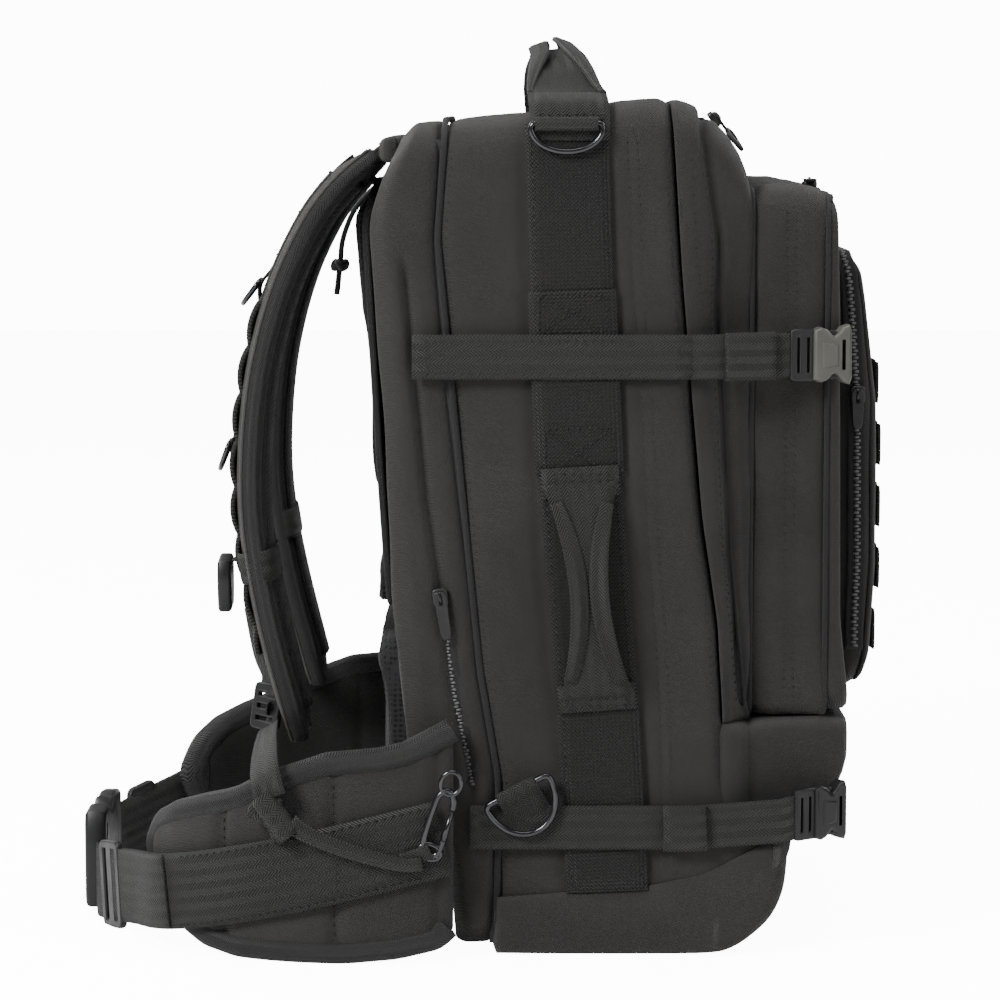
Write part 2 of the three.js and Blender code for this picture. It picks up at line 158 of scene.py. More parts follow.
# ---------------------------------------------------------------- materials
class Nodes:
    """A short way to write a material's node tree."""

    def __init__(self, name):
        self.material = bpy.data.materials.new(name)
        self.material.use_nodes = True
        self.tree = self.material.node_tree
        self.shader = self.tree.nodes["Principled BSDF"]

    def add(self, kind, inputs=None, **settings):
        node = self.tree.nodes.new(kind)
        for key, value in settings.items():
            setattr(node, key, value)
        for key, value in (inputs or {}).items():
            self.put(node.inputs[key], value)
        return node

    def put(self, socket, value):
        if isinstance(value, bpy.types.NodeSocket):
            self.tree.links.new(value, socket)
        else:
            socket.default_value = value

    def math(self, operation, *values):
        node = self.add("ShaderNodeMath", operation=operation)
        for socket, value in zip(node.inputs, values):
            self.put(socket, value)
        return node.outputs[0]

    def plus(self, first, second):
        return self.math("ADD", first, second)

    def times(self, first, second):
        return self.math("MULTIPLY", first, second)

    def place(self):
        """Where a point is on its own object, in metres."""
        return self.add("ShaderNodeTexCoord").outputs["Object"]

    def noise(self, vector, scale, detail=3.0, roughness=0.5):
        inputs = {"Vector": vector, "Scale": scale, "Detail": detail, "Roughness": roughness}
        return self.add("ShaderNodeTexNoise", inputs).outputs["Fac"]

    def ramp(self, value, low, high, dark, light):
        inputs = {"Value": value, "From Min": low, "From Max": high, "To Min": dark, "To Max": light}
        return self.add("ShaderNodeMapRange", inputs).outputs["Result"]

    def grey(self, base, factor):
        """base times factor, as a colour that changes over the surface."""
        mix = self.add("ShaderNodeVectorMath", operation="SCALE")
        mix.inputs[0].default_value = base
        self.put(mix.inputs["Scale"], factor)
        return mix.outputs[0]

    def bump(self, height, distance):
        node = self.add("ShaderNodeBump", {"Height": height, "Distance": distance, "Strength": 1.0})
        self.put(self.shader.inputs["Normal"], node.outputs["Normal"])

    def finish(self, color, roughness, sheen=0.0, metallic=0.0, specular=0.5):
        shader = self.shader
        self.put(shader.inputs["Base Color"], color)
        self.put(shader.inputs["Roughness"], roughness)
        shader.inputs["Sheen Weight"].default_value = sheen
        shader.inputs["Sheen Roughness"].default_value = 0.45
        shader.inputs["Metallic"].default_value = metallic
        shader.inputs["Specular IOR Level"].default_value = specular
        return self.material


def cloth_material(name, base, pitch=0.0016, depth=0.00026, sheen=0.045):
    """Coated nylon: a fine diagonal twill, small slubs and slow changes of tone."""
    n = Nodes(name)
    place = n.place()
    x, y, z = n.add("ShaderNodeSeparateXYZ", {0: place}).outputs
    turn = 2 * math.pi / pitch
    drift = n.times(n.noise(place, 26, 2), 26)
    twill = n.math("SINE", n.plus(n.times(n.plus(n.plus(x, z), y), turn), drift))
    cross = n.math("SINE", n.times(n.math("SUBTRACT", n.math("SUBTRACT", x, z), y), turn * 1.13))
    weave = n.plus(n.times(twill, 0.7), n.times(cross, 0.45))
    slub = n.noise(place, 900, 2)
    crease = n.noise(place, 38, 4, 0.55)
    height = n.plus(n.plus(weave, n.times(slub, 1.3)), n.times(crease, 4.0))
    tone = n.noise(place, 14, 3)
    shade = n.plus(n.ramp(tone, 0.3, 0.7, 0.86, 1.12), n.times(weave, 0.13))
    shade = n.times(shade, n.ramp(slub, 0.3, 0.7, 0.86, 1.16))
    n.bump(height, depth)
    return n.finish(n.grey(base, shade), n.ramp(crease, 0.3, 0.7, 0.62, 0.80), sheen, specular=0.13)


def webbing_material(name, base, ridge=0.0040, pitch=0.0019):
    """Woven strap in herringbone. UVs are metres along and across the strap."""
    n = Nodes(name)
    uv = n.add("ShaderNodeUVMap").outputs["UV"]
    along, across, _ = n.add("ShaderNodeSeparateXYZ", {0: uv}).outputs
    slant = n.math("PINGPONG", across, ridge)
    turn = 2 * math.pi / pitch
    wave = n.math("SINE", n.times(n.plus(along, n.times(slant, 1.2)), turn))
    rib = n.math("ABSOLUTE", n.math("SINE", n.times(across, math.pi / ridge)))
    place = n.place()
    fluff = n.noise(place, 1100, 2)
    tone = n.noise(place, 30, 3)
    height = n.plus(n.plus(wave, n.times(rib, 0.15)), n.times(fluff, 1.2))
    shade = n.plus(n.ramp(tone, 0.3, 0.7, 0.88, 1.1), n.times(wave, 0.6))
    n.bump(height, 0.0007)
    return n.finish(n.grey(base, shade), n.ramp(fluff, 0.3, 0.7, 0.55, 0.72), 0.03, specular=0.16)


def mesh_material(name, base, cell=0.0032):
    """Spacer mesh: holes in a knitted face, with painted shade darkening the holes."""
    n = Nodes(name)
    place = n.place()
    inputs = {"Vector": place, "Scale": 1 / cell, "Randomness": 0.25}
    holes = n.add("ShaderNodeTexVoronoi", inputs).outputs["Distance"]
    open_part = n.ramp(holes, 0.18, 0.5, 0.0, 1.0)
    tone = n.noise(place, 20, 3)
    # painted shade: the base colour is darkened in the holes and lightened on the knit between them
    shade = n.times(n.ramp(open_part, 0, 1, 0.45, 1.25), n.ramp(tone, 0.3, 0.7, 0.9, 1.1))
    n.bump(open_part, 0.0007)
    return n.finish(n.grey(base, shade), n.ramp(tone, 0.3, 0.7, 0.75, 0.9), 0.03, specular=0.1)


def plastic_material(name, base, roughness=0.42):
    """Moulded plastic with a fine grain and slow scuffs."""
    n = Nodes(name)
    place = n.place()
    grain = n.noise(place, 1600, 2)
    scuff = n.noise(place, 70, 5, 0.6)
    n.bump(n.plus(grain, n.times(scuff, 0.6)), 0.00006)
    color = n.grey(base, n.ramp(scuff, 0.3, 0.7, 0.9, 1.12))
    return n.finish(color, n.ramp(scuff, 0.3, 0.7, roughness - 0.07, roughness + 0.12), specular=0.2)


def metal_material(name, base, roughness=0.2):
    """Blackened metal, scuffed a little."""
    n = Nodes(name)
    place = n.place()
    scuff = n.noise(place, 120, 4, 0.6)
    n.bump(scuff, 0.00003)
    color = n.grey(base, n.ramp(scuff, 0.3, 0.7, 0.85, 1.2))
    return n.finish(color, n.ramp(scuff, 0.35, 0.7, roughness, roughness + 0.15), metallic=0.85)


def thread_material(name, base):
    """Twisted thread, as cord and as stitches."""
    n = Nodes(name)
    place = n.place()
    twist = n.noise(place, 2500, 2)
    n.bump(twist, 0.0001)
    return n.finish(n.grey(base, n.ramp(twist, 0.3, 0.7, 0.8, 1.25)), 0.6, 0.03, specular=0.2)


NYLON = cloth_material("nylon", (0.0126, 0.0117, 0.0113))
LINING = cloth_material("lining", (0.015, 0.015, 0.0155), pitch=0.0012, depth=0.0001)
WING_LINING = cloth_material("wing_lining", (0.0052, 0.0049, 0.0047), pitch=0.0024, sheen=0.02)
EDGE_PIPING = cloth_material("edge_piping", (0.034, 0.032, 0.030), pitch=0.0013)
PIPING = cloth_material("piping", (0.0085, 0.0085, 0.009), pitch=0.0013)
WEBBING = webbing_material("strap_weave", (0.0094, 0.0092, 0.0086), pitch=0.0022)
WIDE_WEBBING = webbing_material("wide_weave", (0.0030, 0.0026, 0.0023), ridge=0.0012, pitch=0.0023)
BINDING = webbing_material("binding", (0.0125, 0.0123, 0.0122), ridge=0.0036, pitch=0.0016)
MESH = mesh_material("mesh", (0.0080, 0.0080, 0.0085))
PLASTIC = plastic_material("plastic", (0.0045, 0.0045, 0.0047), 0.38)
OLIVE = plastic_material("olive_buckle", (0.040, 0.039, 0.034), 0.38)
RING = metal_material("black_ring", (0.03, 0.03, 0.032), 0.12)
ZIP_METAL = metal_material("zip_pull", (0.02, 0.02, 0.02), 0.28)
TEETH = plastic_material("zip_teeth", (0.045, 0.045, 0.045), 0.3)
THREAD = thread_material("thread", (0.0018, 0.0018, 0.0018))
CORD = thread_material("braid", (0.014, 0.014, 0.0145))
SHEET = plastic_material("frame_sheet", (0.42, 0.42, 0.40), 0.5)
ALUMINIUM = metal_material("aluminium", (0.55, 0.56, 0.58), 0.35)

SLOT_MATERIALS = {
    "fabric_shell": (NYLON, LINING, PIPING, EDGE_PIPING),
    "webbing": (WEBBING, WIDE_WEBBING, BINDING, THREAD),
    "mesh_padding": (MESH, WING_LINING),
    "buckle_plastic": (PLASTIC,),
    "olive_plastic": (OLIVE,),
    "ring_metal": (RING,),
    "zip_metal": (ZIP_METAL, TEETH),
    "cord": (CORD,),
    "stiffener": (SHEET,),
    "stay_aluminium": (ALUMINIUM,),
}
SLOTS = {material.name: slot for slot, materials in SLOT_MATERIALS.items() for material in materials}


# ---------------------------------------------------------------- mesh tools
def grid_faces(rows, columns, wrap=False):
    """Quads between rows of points, row after row. wrap joins the last column to the first."""
    faces = []
    last = columns if wrap else columns - 1
    for i in range(rows - 1):
        for j in range(last):
            k = (j + 1) % columns
            a, b = i * columns + j, i * columns + k
            faces.append((a, b, b + columns, a + columns))
    return faces


def capped_faces(rows, columns):
    """Faces of a closed outline carried through rows of points, with both ends capped."""
    faces = grid_faces(rows, columns, wrap=True)
    faces.append(tuple(reversed(range(columns))))
    faces.append(tuple(range((rows - 1) * columns, rows * columns)))
    return faces


class Part:
    """Points in millimetres and faces, gathered from several shapes into one piece."""

    def __init__(self):
        self.points = []
        self.faces = []
        self.uvs = {}

    def add(self, points, faces, uvs=None):
        start = sum(len(p) for p in self.points)
        self.points.append(np.asarray(points, float))
        for face in faces:
            shifted = tuple(start + i for i in face)
            if uvs is not None:
                self.uvs[len(self.faces)] = [tuple(uvs[i]) for i in face]
            self.faces.append(shifted)
        return self

    def array(self):
        return np.vstack(self.points)

    def mirrored(self):
        other = Part()
        other.points = [self.array() * (1, -1, 1)]
        other.faces = [tuple(reversed(f)) for f in self.faces]
        other.uvs = {i: list(reversed(v)) for i, v in self.uvs.items()}
        return other


SHARP_ANGLE = math.radians(35)


def make(name, part, material, body, replaces=(), smooth=True, thickness=0.0):
    """Makes the piece, gives it its material, and lets it ride on its body."""
    mesh = bpy.data.meshes.new(name)
    mesh.from_pydata((part.array() * MM).tolist(), [], part.faces)
    mesh.validate()
    if part.uvs and len(mesh.polygons) == len(part.faces):
        layer = mesh.uv_layers.new(name="UVMap")
        for polygon in mesh.polygons:
            for loop, uv in zip(polygon.loop_indices, part.uvs.get(polygon.index, [(0, 0)] * 4)):
                layer.data[loop].uv = uv
    obj = bpy.data.objects.new(name, mesh)
    bpy.context.scene.collection.objects.link(obj)
    mesh.materials.append(material)
    if smooth:
        mesh.shade_smooth()
    if thickness:
        shell = obj.modifiers.new("thickness", "SOLIDIFY")
        shell.thickness = thickness * MM
        shell.offset = -1
        apply_modifiers(obj)
    if not smooth:
        mesh = obj.data
        mesh.shade_smooth()
        mesh.set_sharp_from_angle(angle=SHARP_ANGLE)
    if body:
        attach(obj, body)
    if replaces:
        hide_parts(*replaces)
    return obj


def apply_modifiers(obj):
    """Bakes the object's modifiers into its mesh."""
    graph = bpy.context.evaluated_depsgraph_get()
    mesh = bpy.data.meshes.new_from_object(obj.evaluated_get(graph))
    obj.modifiers.clear()
    obj.data = mesh


def pair(name, part, material, body, replaces=(), **options):
    """A left piece and its mirror image. body and replaces end in the side's name unless they are fixed."""
    made = []
    for side in (LEFT, RIGHT):
        word = SIDE_NAMES[side]
        shape = part if side == LEFT else part.mirrored()
        there = body if body in (None, *frame["bodies"]) else f"{body}_{word}"
        nodes = [node if node in frame["nodes"] else f"{node}_{word}" for node in replaces]
        made.append(make(f"{name}_{word}", shape, material, there, nodes, **options))
    return made


def curve_through(points, count, closed=False):
    """Evenly spaced points on a smooth curve through the given ones."""
    given = np.asarray(points, float)
    if closed:
        given = np.vstack([given[-2:], given, given[:3]])
    else:
        given = np.vstack([2 * given[0] - given[1], given, 2 * given[-1] - given[-2]])
    fine = []
    first = 1 if not closed else 2
    spans = len(given) - 3 if not closed else len(points)
    for i in range(first, first + spans):
        p0, p1, p2, p3 = given[i - 1], given[i], given[i + 1], given[i + 2]
        for t in np.linspace(0, 1, 24, endpoint=False):
            fine.append(
                0.5 * (2 * p1 + (p2 - p0) * t + (2 * p0 - 5 * p1 + 4 * p2 - p3) * t**2
                       + (3 * p1 - p0 - 3 * p2 + p3) * t**3)
            )
    fine.append(given[first + spans] if not closed else fine[0])
    fine = np.array(fine)
    steps = lengths_along(fine)
    places = np.linspace(0, steps[-1], count + (1 if closed else 0))
    out = np.column_stack([np.interp(places, steps, fine[:, k]) for k in range(fine.shape[1])])
    return out[:-1] if closed else out


def directions(path, closed=False):
    """Unit directions along a path at its points."""
    if closed:
        step = np.roll(path, -1, axis=0) - np.roll(path, 1, axis=0)
    else:
        step = np.gradient(path, axis=0)
    return step / np.maximum(np.linalg.norm(step, axis=1, keepdims=True), 1e-9)


def lengths_along(path):
    """How far along a path each of its points lies."""
    return np.r_[0, np.cumsum(np.linalg.norm(np.diff(path, axis=0), axis=1))]


def unit(vectors):
    return vectors / np.linalg.norm(vectors, axis=1, keepdims=True)


def at_length(length, reach, values):
    """A path's values at one length along it, between its points."""
    return np.array([np.interp(length, reach, values[:, k]) for k in range(3)])


def tube(path, radius, sides=8, closed=False):
    """Points and faces of a round tube along a path, with closed ends."""
    path = np.asarray(path, float)
    along = directions(path, closed)
    side = np.cross(along[0], (0.31, 0.22, 0.93))
    side /= np.linalg.norm(side)
    points, uvs = [], []
    reach = lengths_along(path)
    radii = np.broadcast_to(radius, len(path))
    for centre, direction, r, u in zip(path, along, radii, reach):
        side = side - direction * np.dot(side, direction)
        side /= np.linalg.norm(side)
        up = np.cross(direction, side)
        for k in range(sides):
            a = 2 * math.pi * k / sides
            points.append(centre + r * (math.cos(a) * side + math.sin(a) * up))
            uvs.append((u * MM, a * r * MM))
    if not closed:
        return np.array(points), capped_faces(len(path), sides), uvs
    last = (len(path) - 1) * sides
    join = [(last + j, last + (j + 1) % sides, (j + 1) % sides, j) for j in range(sides)]
    return np.array(points), grid_faces(len(path), sides, wrap=True) + join, uvs


def ribbon(path, normals, width, thickness):
    """A strap along a path, facing along its normals, with UVs in metres. width may change along it."""
    path = np.asarray(path, float)
    normals = np.broadcast_to(np.asarray(normals, float), path.shape)
    along = directions(path)
    across = unit(np.cross(normals, along))
    up = np.cross(along, across)
    widths = np.broadcast_to(width, len(path))
    reach = lengths_along(path)
    section = []
    half_t = thickness / 2
    for sign in (1, -1):
        for f in np.linspace(-1, 1, 7) * sign:
            section.append((f, half_t * sign * (0.55 if abs(f) > 0.99 else 1.0)))
    points, uvs = [], []
    for i, centre in enumerate(path):
        for f, t in section:
            points.append(centre + across[i] * f * widths[i] / 2 + up[i] * t)
            uvs.append((reach[i] * MM, f * widths[i] / 2 * MM))
    return np.array(points), capped_faces(len(path), len(section)), uvs


def stitches(part, path, normals, pitch=5.2, length=3.4, width=1.15, height=0.7):
    """A row of thread stitches lying on a surface."""
    path = np.asarray(path, float)
    reach = lengths_along(path)
    normals = np.broadcast_to(np.asarray(normals, float), path.shape)
    for start in np.arange(pitch / 2, reach[-1] - length, pitch):
        place = [at_length(start + length * f, reach, path) for f in (0, 0.5, 1)]
        up = at_length(start, reach, normals)
        along = place[2] - place[0]
        along /= max(np.linalg.norm(along), 1e-9)
        across = np.cross(up, along) * width / 2
        rise = up * height
        ends = [place[0] - rise * 0.6, place[2] - rise * 0.6]
        ring = [place[1] - across, place[1] + rise, place[1] + across, place[1] - rise]
        points = [ends[0], *ring, ends[1]]
        faces = [(0, 1, 2), (0, 2, 3), (0, 3, 4), (0, 4, 1), (5, 2, 1), (5, 3, 2), (5, 4, 3), (5, 1, 4)]
        part.add(points, faces)


def extruded(outlines, thickness, bevel):
    """Points and faces of a flat plate in local X and Y with rounded edges, from its outline and holes."""
    curve = bpy.data.curves.new("outline", "CURVE")
    curve.dimensions = "2D"
    curve.fill_mode = "BOTH"
    curve.extrude = max(thickness / 2 - bevel, 0.01)
    curve.bevel_depth = bevel
    curve.bevel_resolution = 2
    for outline in outlines:
        spline = curve.splines.new("POLY")
        spline.points.add(len(outline) - 1)
        spline.use_cyclic_u = True
        for point, (x, y) in zip(spline.points, outline):
            point.co = (x, y, 0, 1)
    obj = bpy.data.objects.new("outline", curve)
    bpy.context.scene.collection.objects.link(obj)
    mesh = bpy.data.meshes.new_from_object(obj.evaluated_get(bpy.context.evaluated_depsgraph_get()))
    points = np.array([v.co[:] for v in mesh.vertices])
    faces = [tuple(p.vertices) for p in mesh.polygons]
    bpy.data.objects.remove(obj)
    bpy.data.curves.remove(curve)
    bpy.data.meshes.remove(mesh)
    return points, faces


def placed(points, origin, x_axis, y_axis):
    """Local points put at an origin with the given directions for local X and Y."""
    x = np.array(x_axis, float)
    x /= np.linalg.norm(x)
    y = np.array(y_axis, float)
    y -= x * np.dot(x, y)
    y /= np.linalg.norm(y)
    z = np.cross(x, y)
    return np.array(origin) + np.asarray(points) @ np.array([x, y, z])


def rounded_box(width, height, radius):
    """Outline of a rectangle with round corners, centred on the origin."""
    steps = 4
    points = []
    for k, (sx, sy) in enumerate([(1, 1), (-1, 1), (-1, -1), (1, -1)]):
        for i in range(steps + 1):
            a = math.pi / 2 * (k + i / steps)
            points.append((sx * (width / 2 - radius) + radius * math.cos(a),
                           sy * (height / 2 - radius) + radius * math.sin(a)))
    return points


def mirrored_outline(upper):
    """A closed outline from its upper half, alike above and below local X."""
    return upper + [(x, -y) for x, y in reversed(upper)]


def slot(start, end, half):
    """A straight hole across local X, from start to end."""
    return [(start, half), (end, half), (end, -half), (start, -half)]


# ---------------------------------------------------------------- pull cord
CORD_LINE = [(-142, -60, 462), (-148, -60, 458), (-155, -60, 451), (-161, -60, 443), (-165, -60, 434),
             (-168, -60, 424), (-169, -60, 414), (-170, -60, 404)]
CORD_DIAMETER = 3.5


def pull_cord():
    """A short free cord at the head of the harness, ending in a knot."""
    curve = bpy.data.curves.new("pull_cord_braid", "CURVE")
    curve.dimensions = "3D"
    curve.bevel_depth = CORD_DIAMETER / 2 * MM
    curve.bevel_resolution = 3
    curve.use_fill_caps = True
    spline = curve.splines.new("POLY")
    path = curve_through(CORD_LINE, 30) * MM
    spline.points.add(len(path) - 1)
    for point, place in zip(spline.points, path):
        point.co = (*place, 1)
    cord = bpy.data.objects.new("pull_cord_braid", curve)
    bpy.context.scene.collection.objects.link(cord)
    curve.materials.append(CORD)
    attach(cord, "pack")
    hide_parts("pull_cord")
    knot = Part()
    turns = np.linspace(0, 2 * math.pi, 48, endpoint=False)
    x = 2.6 * np.sin(turns) + 3.4 * np.sin(2 * turns)
    y = 2.6 * np.cos(turns) - 3.4 * np.cos(2 * turns)
    trefoil = np.column_stack([x, y, 2.8 * np.sin(3 * turns)])
    knot.add(*tube(trefoil * 0.8 + (-169.5, -60, 410), 1.8, 8, closed=True))
    for shift in (-2.6, 2.6):
        end = [(-169.7, -60 + shift * 0.3, 409), (-170.5, -60 + shift, 400), (-171.5, -60 + shift * 1.5, 392)]
        knot.add(*tube(curve_through(end, 9), 1.7, 8))
    knot_piece = make("pull_cord_knot", knot, CORD, "pack")


pull_cord()


# ---------------------------------------------------------------- the pack's outline, seen from the side
HALF = abs(box_mm("side_panel_left")[0][1])
ADMIN_HALF = abs(box_mm("admin_panel")[0][1])
DOOR_LOW = box_mm("door_shell")[0][2]
ADMIN_LOW, ADMIN_TOP = box_mm("admin_panel")[0][2], box_mm("admin_panel")[1][2]


def profile(stations, blur=9):
    """x as a smooth function of height, from (height, x) stations."""
    heights = np.arange(-40, 620, 2.0)
    values = np.interp(heights, [s[0] for s in stations], [s[1] for s in stations])
    window = np.hanning(blur)
    padded = np.pad(values, blur // 2, mode="edge")
    values = np.convolve(padded, window / window.sum(), mode="valid")[: len(heights)]
    return lambda z: np.interp(z, heights, values)


back_edge = profile([(0, -96), (60, -101), (125, -127), (300, -139), (440, -147), (470, -137), (499, -123)],
                    15)
rear_zip = profile([(0, -84), (100, -86), (120, -89), (158, -97), (222, -105), (275, -113), (372, -122),
                    (430, -128)])
rear_seam = profile([(0, -72), (107, -71), (173, -82), (346, -99), (430, -107), (499, -102)])
stitch_line = profile([(49, 27), (131, 26), (187, 23), (262, 17), (346, 13), (402, 8), (506, 4)])
main_zip = profile([(60, 66), (148, 63), (200, 60), (262, 51), (346, 43), (420, 37), (513, 31)])
second_zip = profile([(141, 78), (240, 68), (394, 60), (428, 61), (467, 55), (500, 51)])
front_low = profile([(0, 60), (9, 78), (24, 93), (42, 100), (72, 102), (77, 80), (600, 80)], 5)
pocket_face = profile([(142, 141), (200, 135), (421, 132), (445, 131), (456, 128)], 9)
admin_face = profile([(150, 148), (157, 152), (175, 156.5), (231, 160), (330, 159.5), (390, 153),
                      (410, 150), (418, 145)], 7)
web_centre = profile([(42, -5.7), (156, -12), (285, -22.5), (396, -27.6), (497, -30.8)], 15)


TOP_LINE = [(-123, 497), (-99, 499), (-54, 503), (-7, 508), (12, 511), (40, 512)]


def top_height(x):
    return np.interp(x, *zip(*TOP_LINE))


def rounded_ring(half, low, high, radius, foot=None):
    """Y and Z of a rounded rectangle, from the middle of its top round by the -Y side.

    foot is the radius of its lower corners, where it differs.
    """
    across, up, corner = 34, 62, 7
    foot = radius if foot is None else foot

    def line(a, b, count):
        return np.linspace(a, b, count, endpoint=False)

    def arc(cy, cz, r, start, count):
        a = np.linspace(start, start + math.pi / 2, count, endpoint=False)
        return np.column_stack([cy + r * np.cos(a), cz + r * np.sin(a)])

    head_y, foot_y, side_low, side_high = half - radius, half - foot, low + foot, high - radius
    pieces = [
        np.column_stack([line(0, -head_y, across // 2), np.full(across // 2, high)]),
        arc(-head_y, side_high, radius, math.pi / 2, corner),
        np.column_stack([np.full(up, -half), line(side_high, side_low, up)]),
        arc(-foot_y, side_low, foot, math.pi, corner),
        np.column_stack([line(-foot_y, foot_y, across), np.full(across, low)]),
        arc(foot_y, side_low, foot, 1.5 * math.pi, corner),
        np.column_stack([np.full(up, half), line(side_low, side_high, up)]),
        arc(head_y, side_high, radius, 0, corner),
        np.column_stack([line(head_y, 0, across // 2), np.full(across // 2, high)]),
    ]
    return np.vstack(pieces)


def loft(stations, close_first=False, close_last=False, foot=None):
    """A skin over rings. Each station is (x of height, half width, low, high, corner radius)."""
    rings = []
    for x_of, half, low, high, radius in stations:
        ring = rounded_ring(half, low, high, radius, foot)
        x = x_of(ring[:, 1]) if callable(x_of) else np.full(len(ring), x_of)
        rings.append(np.column_stack([x, ring]))
    columns = len(rings[0])
    part = Part()
    faces = grid_faces(len(rings), columns, wrap=True)
    points = np.vstack(rings)
    for close, first in ((close_first, 0), (close_last, (len(rings) - 1) * columns)):
        if close:
            points = np.vstack([points, points[first:first + columns].mean(axis=0)])
            middle = len(points) - 1
            fan = [(first + j, first + (j + 1) % columns, middle) for j in range(columns)]
            faces += fan if first else [tuple(reversed(f)) for f in fan]
    return part.add(points, faces)


def straight(x):
    """An upright line at x, as a function of height."""
    return lambda z: x + 0 * z


def between(a, b, t):
    return lambda z: (1 - t) * a(z) + t * b(z)


def shifted(f, distance):
    return lambda z: f(z) + distance


def vertex_normals(points, faces):
    """Outward unit normals of a skin at its points."""
    normals = np.zeros_like(points)
    for size in (3, 4):
        chosen = np.array([f for f in faces if len(f) == size])
        if not len(chosen):
            continue
        a, b, c = points[chosen[:, 0]], points[chosen[:, 1]], points[chosen[:, 2]]
        face_normals = np.cross(b - a, c - a)
        if size == 4:
            d = points[chosen[:, 3]]
            face_normals = np.cross(c - a, d - b)
        for k in range(size):
            np.add.at(normals, chosen[:, k], face_normals)
    return normals / np.maximum(np.linalg.norm(normals, axis=1, keepdims=True), 1e-9)


def cloudy(points, scale, seed):
    """Smooth noise from -1 to 1 at each point, alike on the left and the right."""
    offset = Vector((seed * 7.1, seed * 3.7, seed * 5.3))
    return np.array([noise.noise(Vector((x, abs(y), z)) / scale + offset) for x, y, z in points])


def relief(part, seams, puff, wrinkle, seed):
    """Pushes a skin in at its seams and gives it soft waves and small creases.

    Each seam is (x of height, low, high, depth, width).
    """
    points = part.array()
    normals = vertex_normals(points, part.faces)
    push = np.full(len(points), float(puff))
    stretched = points * (1.0, 1.0, 0.55)
    push += wrinkle * 2.2 * cloudy(stretched, 62, seed)
    push += wrinkle * 0.9 * cloudy(stretched, 24, seed + 3)
    for seam, low, high, depth, width in seams:
        x, z = points[:, 0], points[:, 2]
        there = np.clip((z - low) / 12, 0, 1) * np.clip((high - z) / 12, 0, 1)
        push -= depth * np.exp(-(((x - seam(z)) / width) ** 2)) * there
    part.points = [points + normals * push[:, None]]
    return part


# ---------------------------------------------------------------- rear section, main section and base
REAR_HALF = HALF - 3


def rear_section():
    """The section against the wearer's back, from its closed back to the rear seam."""
    stations = []
    for inset in (120, 90, 60, 36, 20, 12):
        low, high = 6 + inset * 0.9, 496 - inset * 0.9
        edge = shifted(back_edge, 1.0 + 2.0 * math.exp(-inset / 14))
        stations.append((edge, REAR_HALF - inset, low, high, 18))
    for t in np.r_[0.02, 0.05, np.linspace(0.09, 1, 24)]:
        round_off = 12 * (1 - min(t / 0.3, 1)) ** 2
        high = 497 - round_off * 0.9
        swell = 2.5 * math.sin(math.pi * t)
        stations.append((between(back_edge, rear_seam, t), REAR_HALF - round_off + swell, 5, high, 20))
    seams = [(rear_zip, 92, 420, 5.5, 3.2), (rear_seam, 0, 520, 5.0, 4)]
    return relief(loft(stations, close_first=True), seams, 0.8, 1.1, 2)


def main_front(z):
    """Front edge of the fixed body: the main zip, and the rounded base below it."""
    blend = np.clip((z - 76) / 4, 0, 1)
    return main_zip(z) * blend + front_low(z) * (1 - blend)


def main_section():
    """The main section, from the rear seam to the main zip, open where the door closes it."""
    stations = []
    for t in np.linspace(0, 1, 54):
        x_top = (1 - t) * -103 + t * 31
        swell = 2.6 * math.sin(math.pi * t) ** 0.6
        edge = between(rear_seam, main_front, t)
        stations.append((edge, HALF - 3 + swell, 4, top_height(x_top) + 0.5, 20))
    seams = [(rear_seam, 0, 520, 3.5, 4.5), (stitch_line, 30, 500, 0.9, 3.5), (main_zip, 95, 520, 5.0, 4),
             (shifted(web_centre, 27), 40, 500, 1.2, 3), (shifted(web_centre, -27), 40, 500, 1.2, 3)]
    return relief(loft(stations), seams, 0, 0.9, 5)


BOOT_SEAM = [(-72, 36), (-40, 38.5), (19, 43), (50, 49.7), (60, 54), (79, 64), (103, 75)]
BOOT_BOTTOM = [(-72, 0.4), (-30, 0), (20, 0), (56, 0.6), (70, 4), (82, 12), (93, 23), (100, 38), (102.5, 56),
               (103, 75)]
BOOT_RADIUS = 9.0


def base_cover():
    """A cup of heavier cloth round the bottom of the main section."""
    rows = []
    for x, z in curve_through(BOOT_BOTTOM, 44):
        seam_z = max(np.interp(x, *zip(*BOOT_SEAM)), z + 0.5)
        inward_x, inward_z = (-0.3, 1.0) if x < 60 else (-1.0, 0.45)
        left = [(x, -HALF - 0.6, seam_z), (x, -HALF - 1.4, 0.5 * (seam_z + z + BOOT_RADIUS))]
        for a in np.linspace(0.15, math.pi / 2, 6):
            rise = BOOT_RADIUS * (1 - math.sin(a))
            y = HALF + 1.2 - BOOT_RADIUS * (1 - math.cos(a))
            left.append((x + inward_x * rise, -y, z + inward_z * rise))
        left += [(x, -y, z) for y in np.linspace(HALF - BOOT_RADIUS - 4, 0, 8, endpoint=False)]
        rows.append(left + [(x, 0, z)] + [(px, -py, pz) for px, py, pz in reversed(left)])
    return Part().add(np.vstack(rows), grid_faces(len(rows), len(rows[0])))


LOWER_POCKET = [  # x, low, high, half width
    (61, 79, 140.5, 171), (63.5, 78, 141, 174), (67, 77, 141, 174.5), (72, 77, 141, 173.5),
    (77, 78, 140, 171), (79.5, 79, 139, 167), (82, 78, 140.3, 166), (86, 77, 141, 165),
    (92, 76.5, 141, 163), (102, 76, 141, 159), (112, 78, 141, 155.5), (121, 82, 141, 152),
    (128, 87, 140.5, 149.5), (134, 95, 140, 147), (138.5, 104, 139, 144.5), (141, 111, 137.5, 140),
    (142, 116, 135, 132), (142.2, 120, 132, 90), (142.2, 123, 129, 40),
]


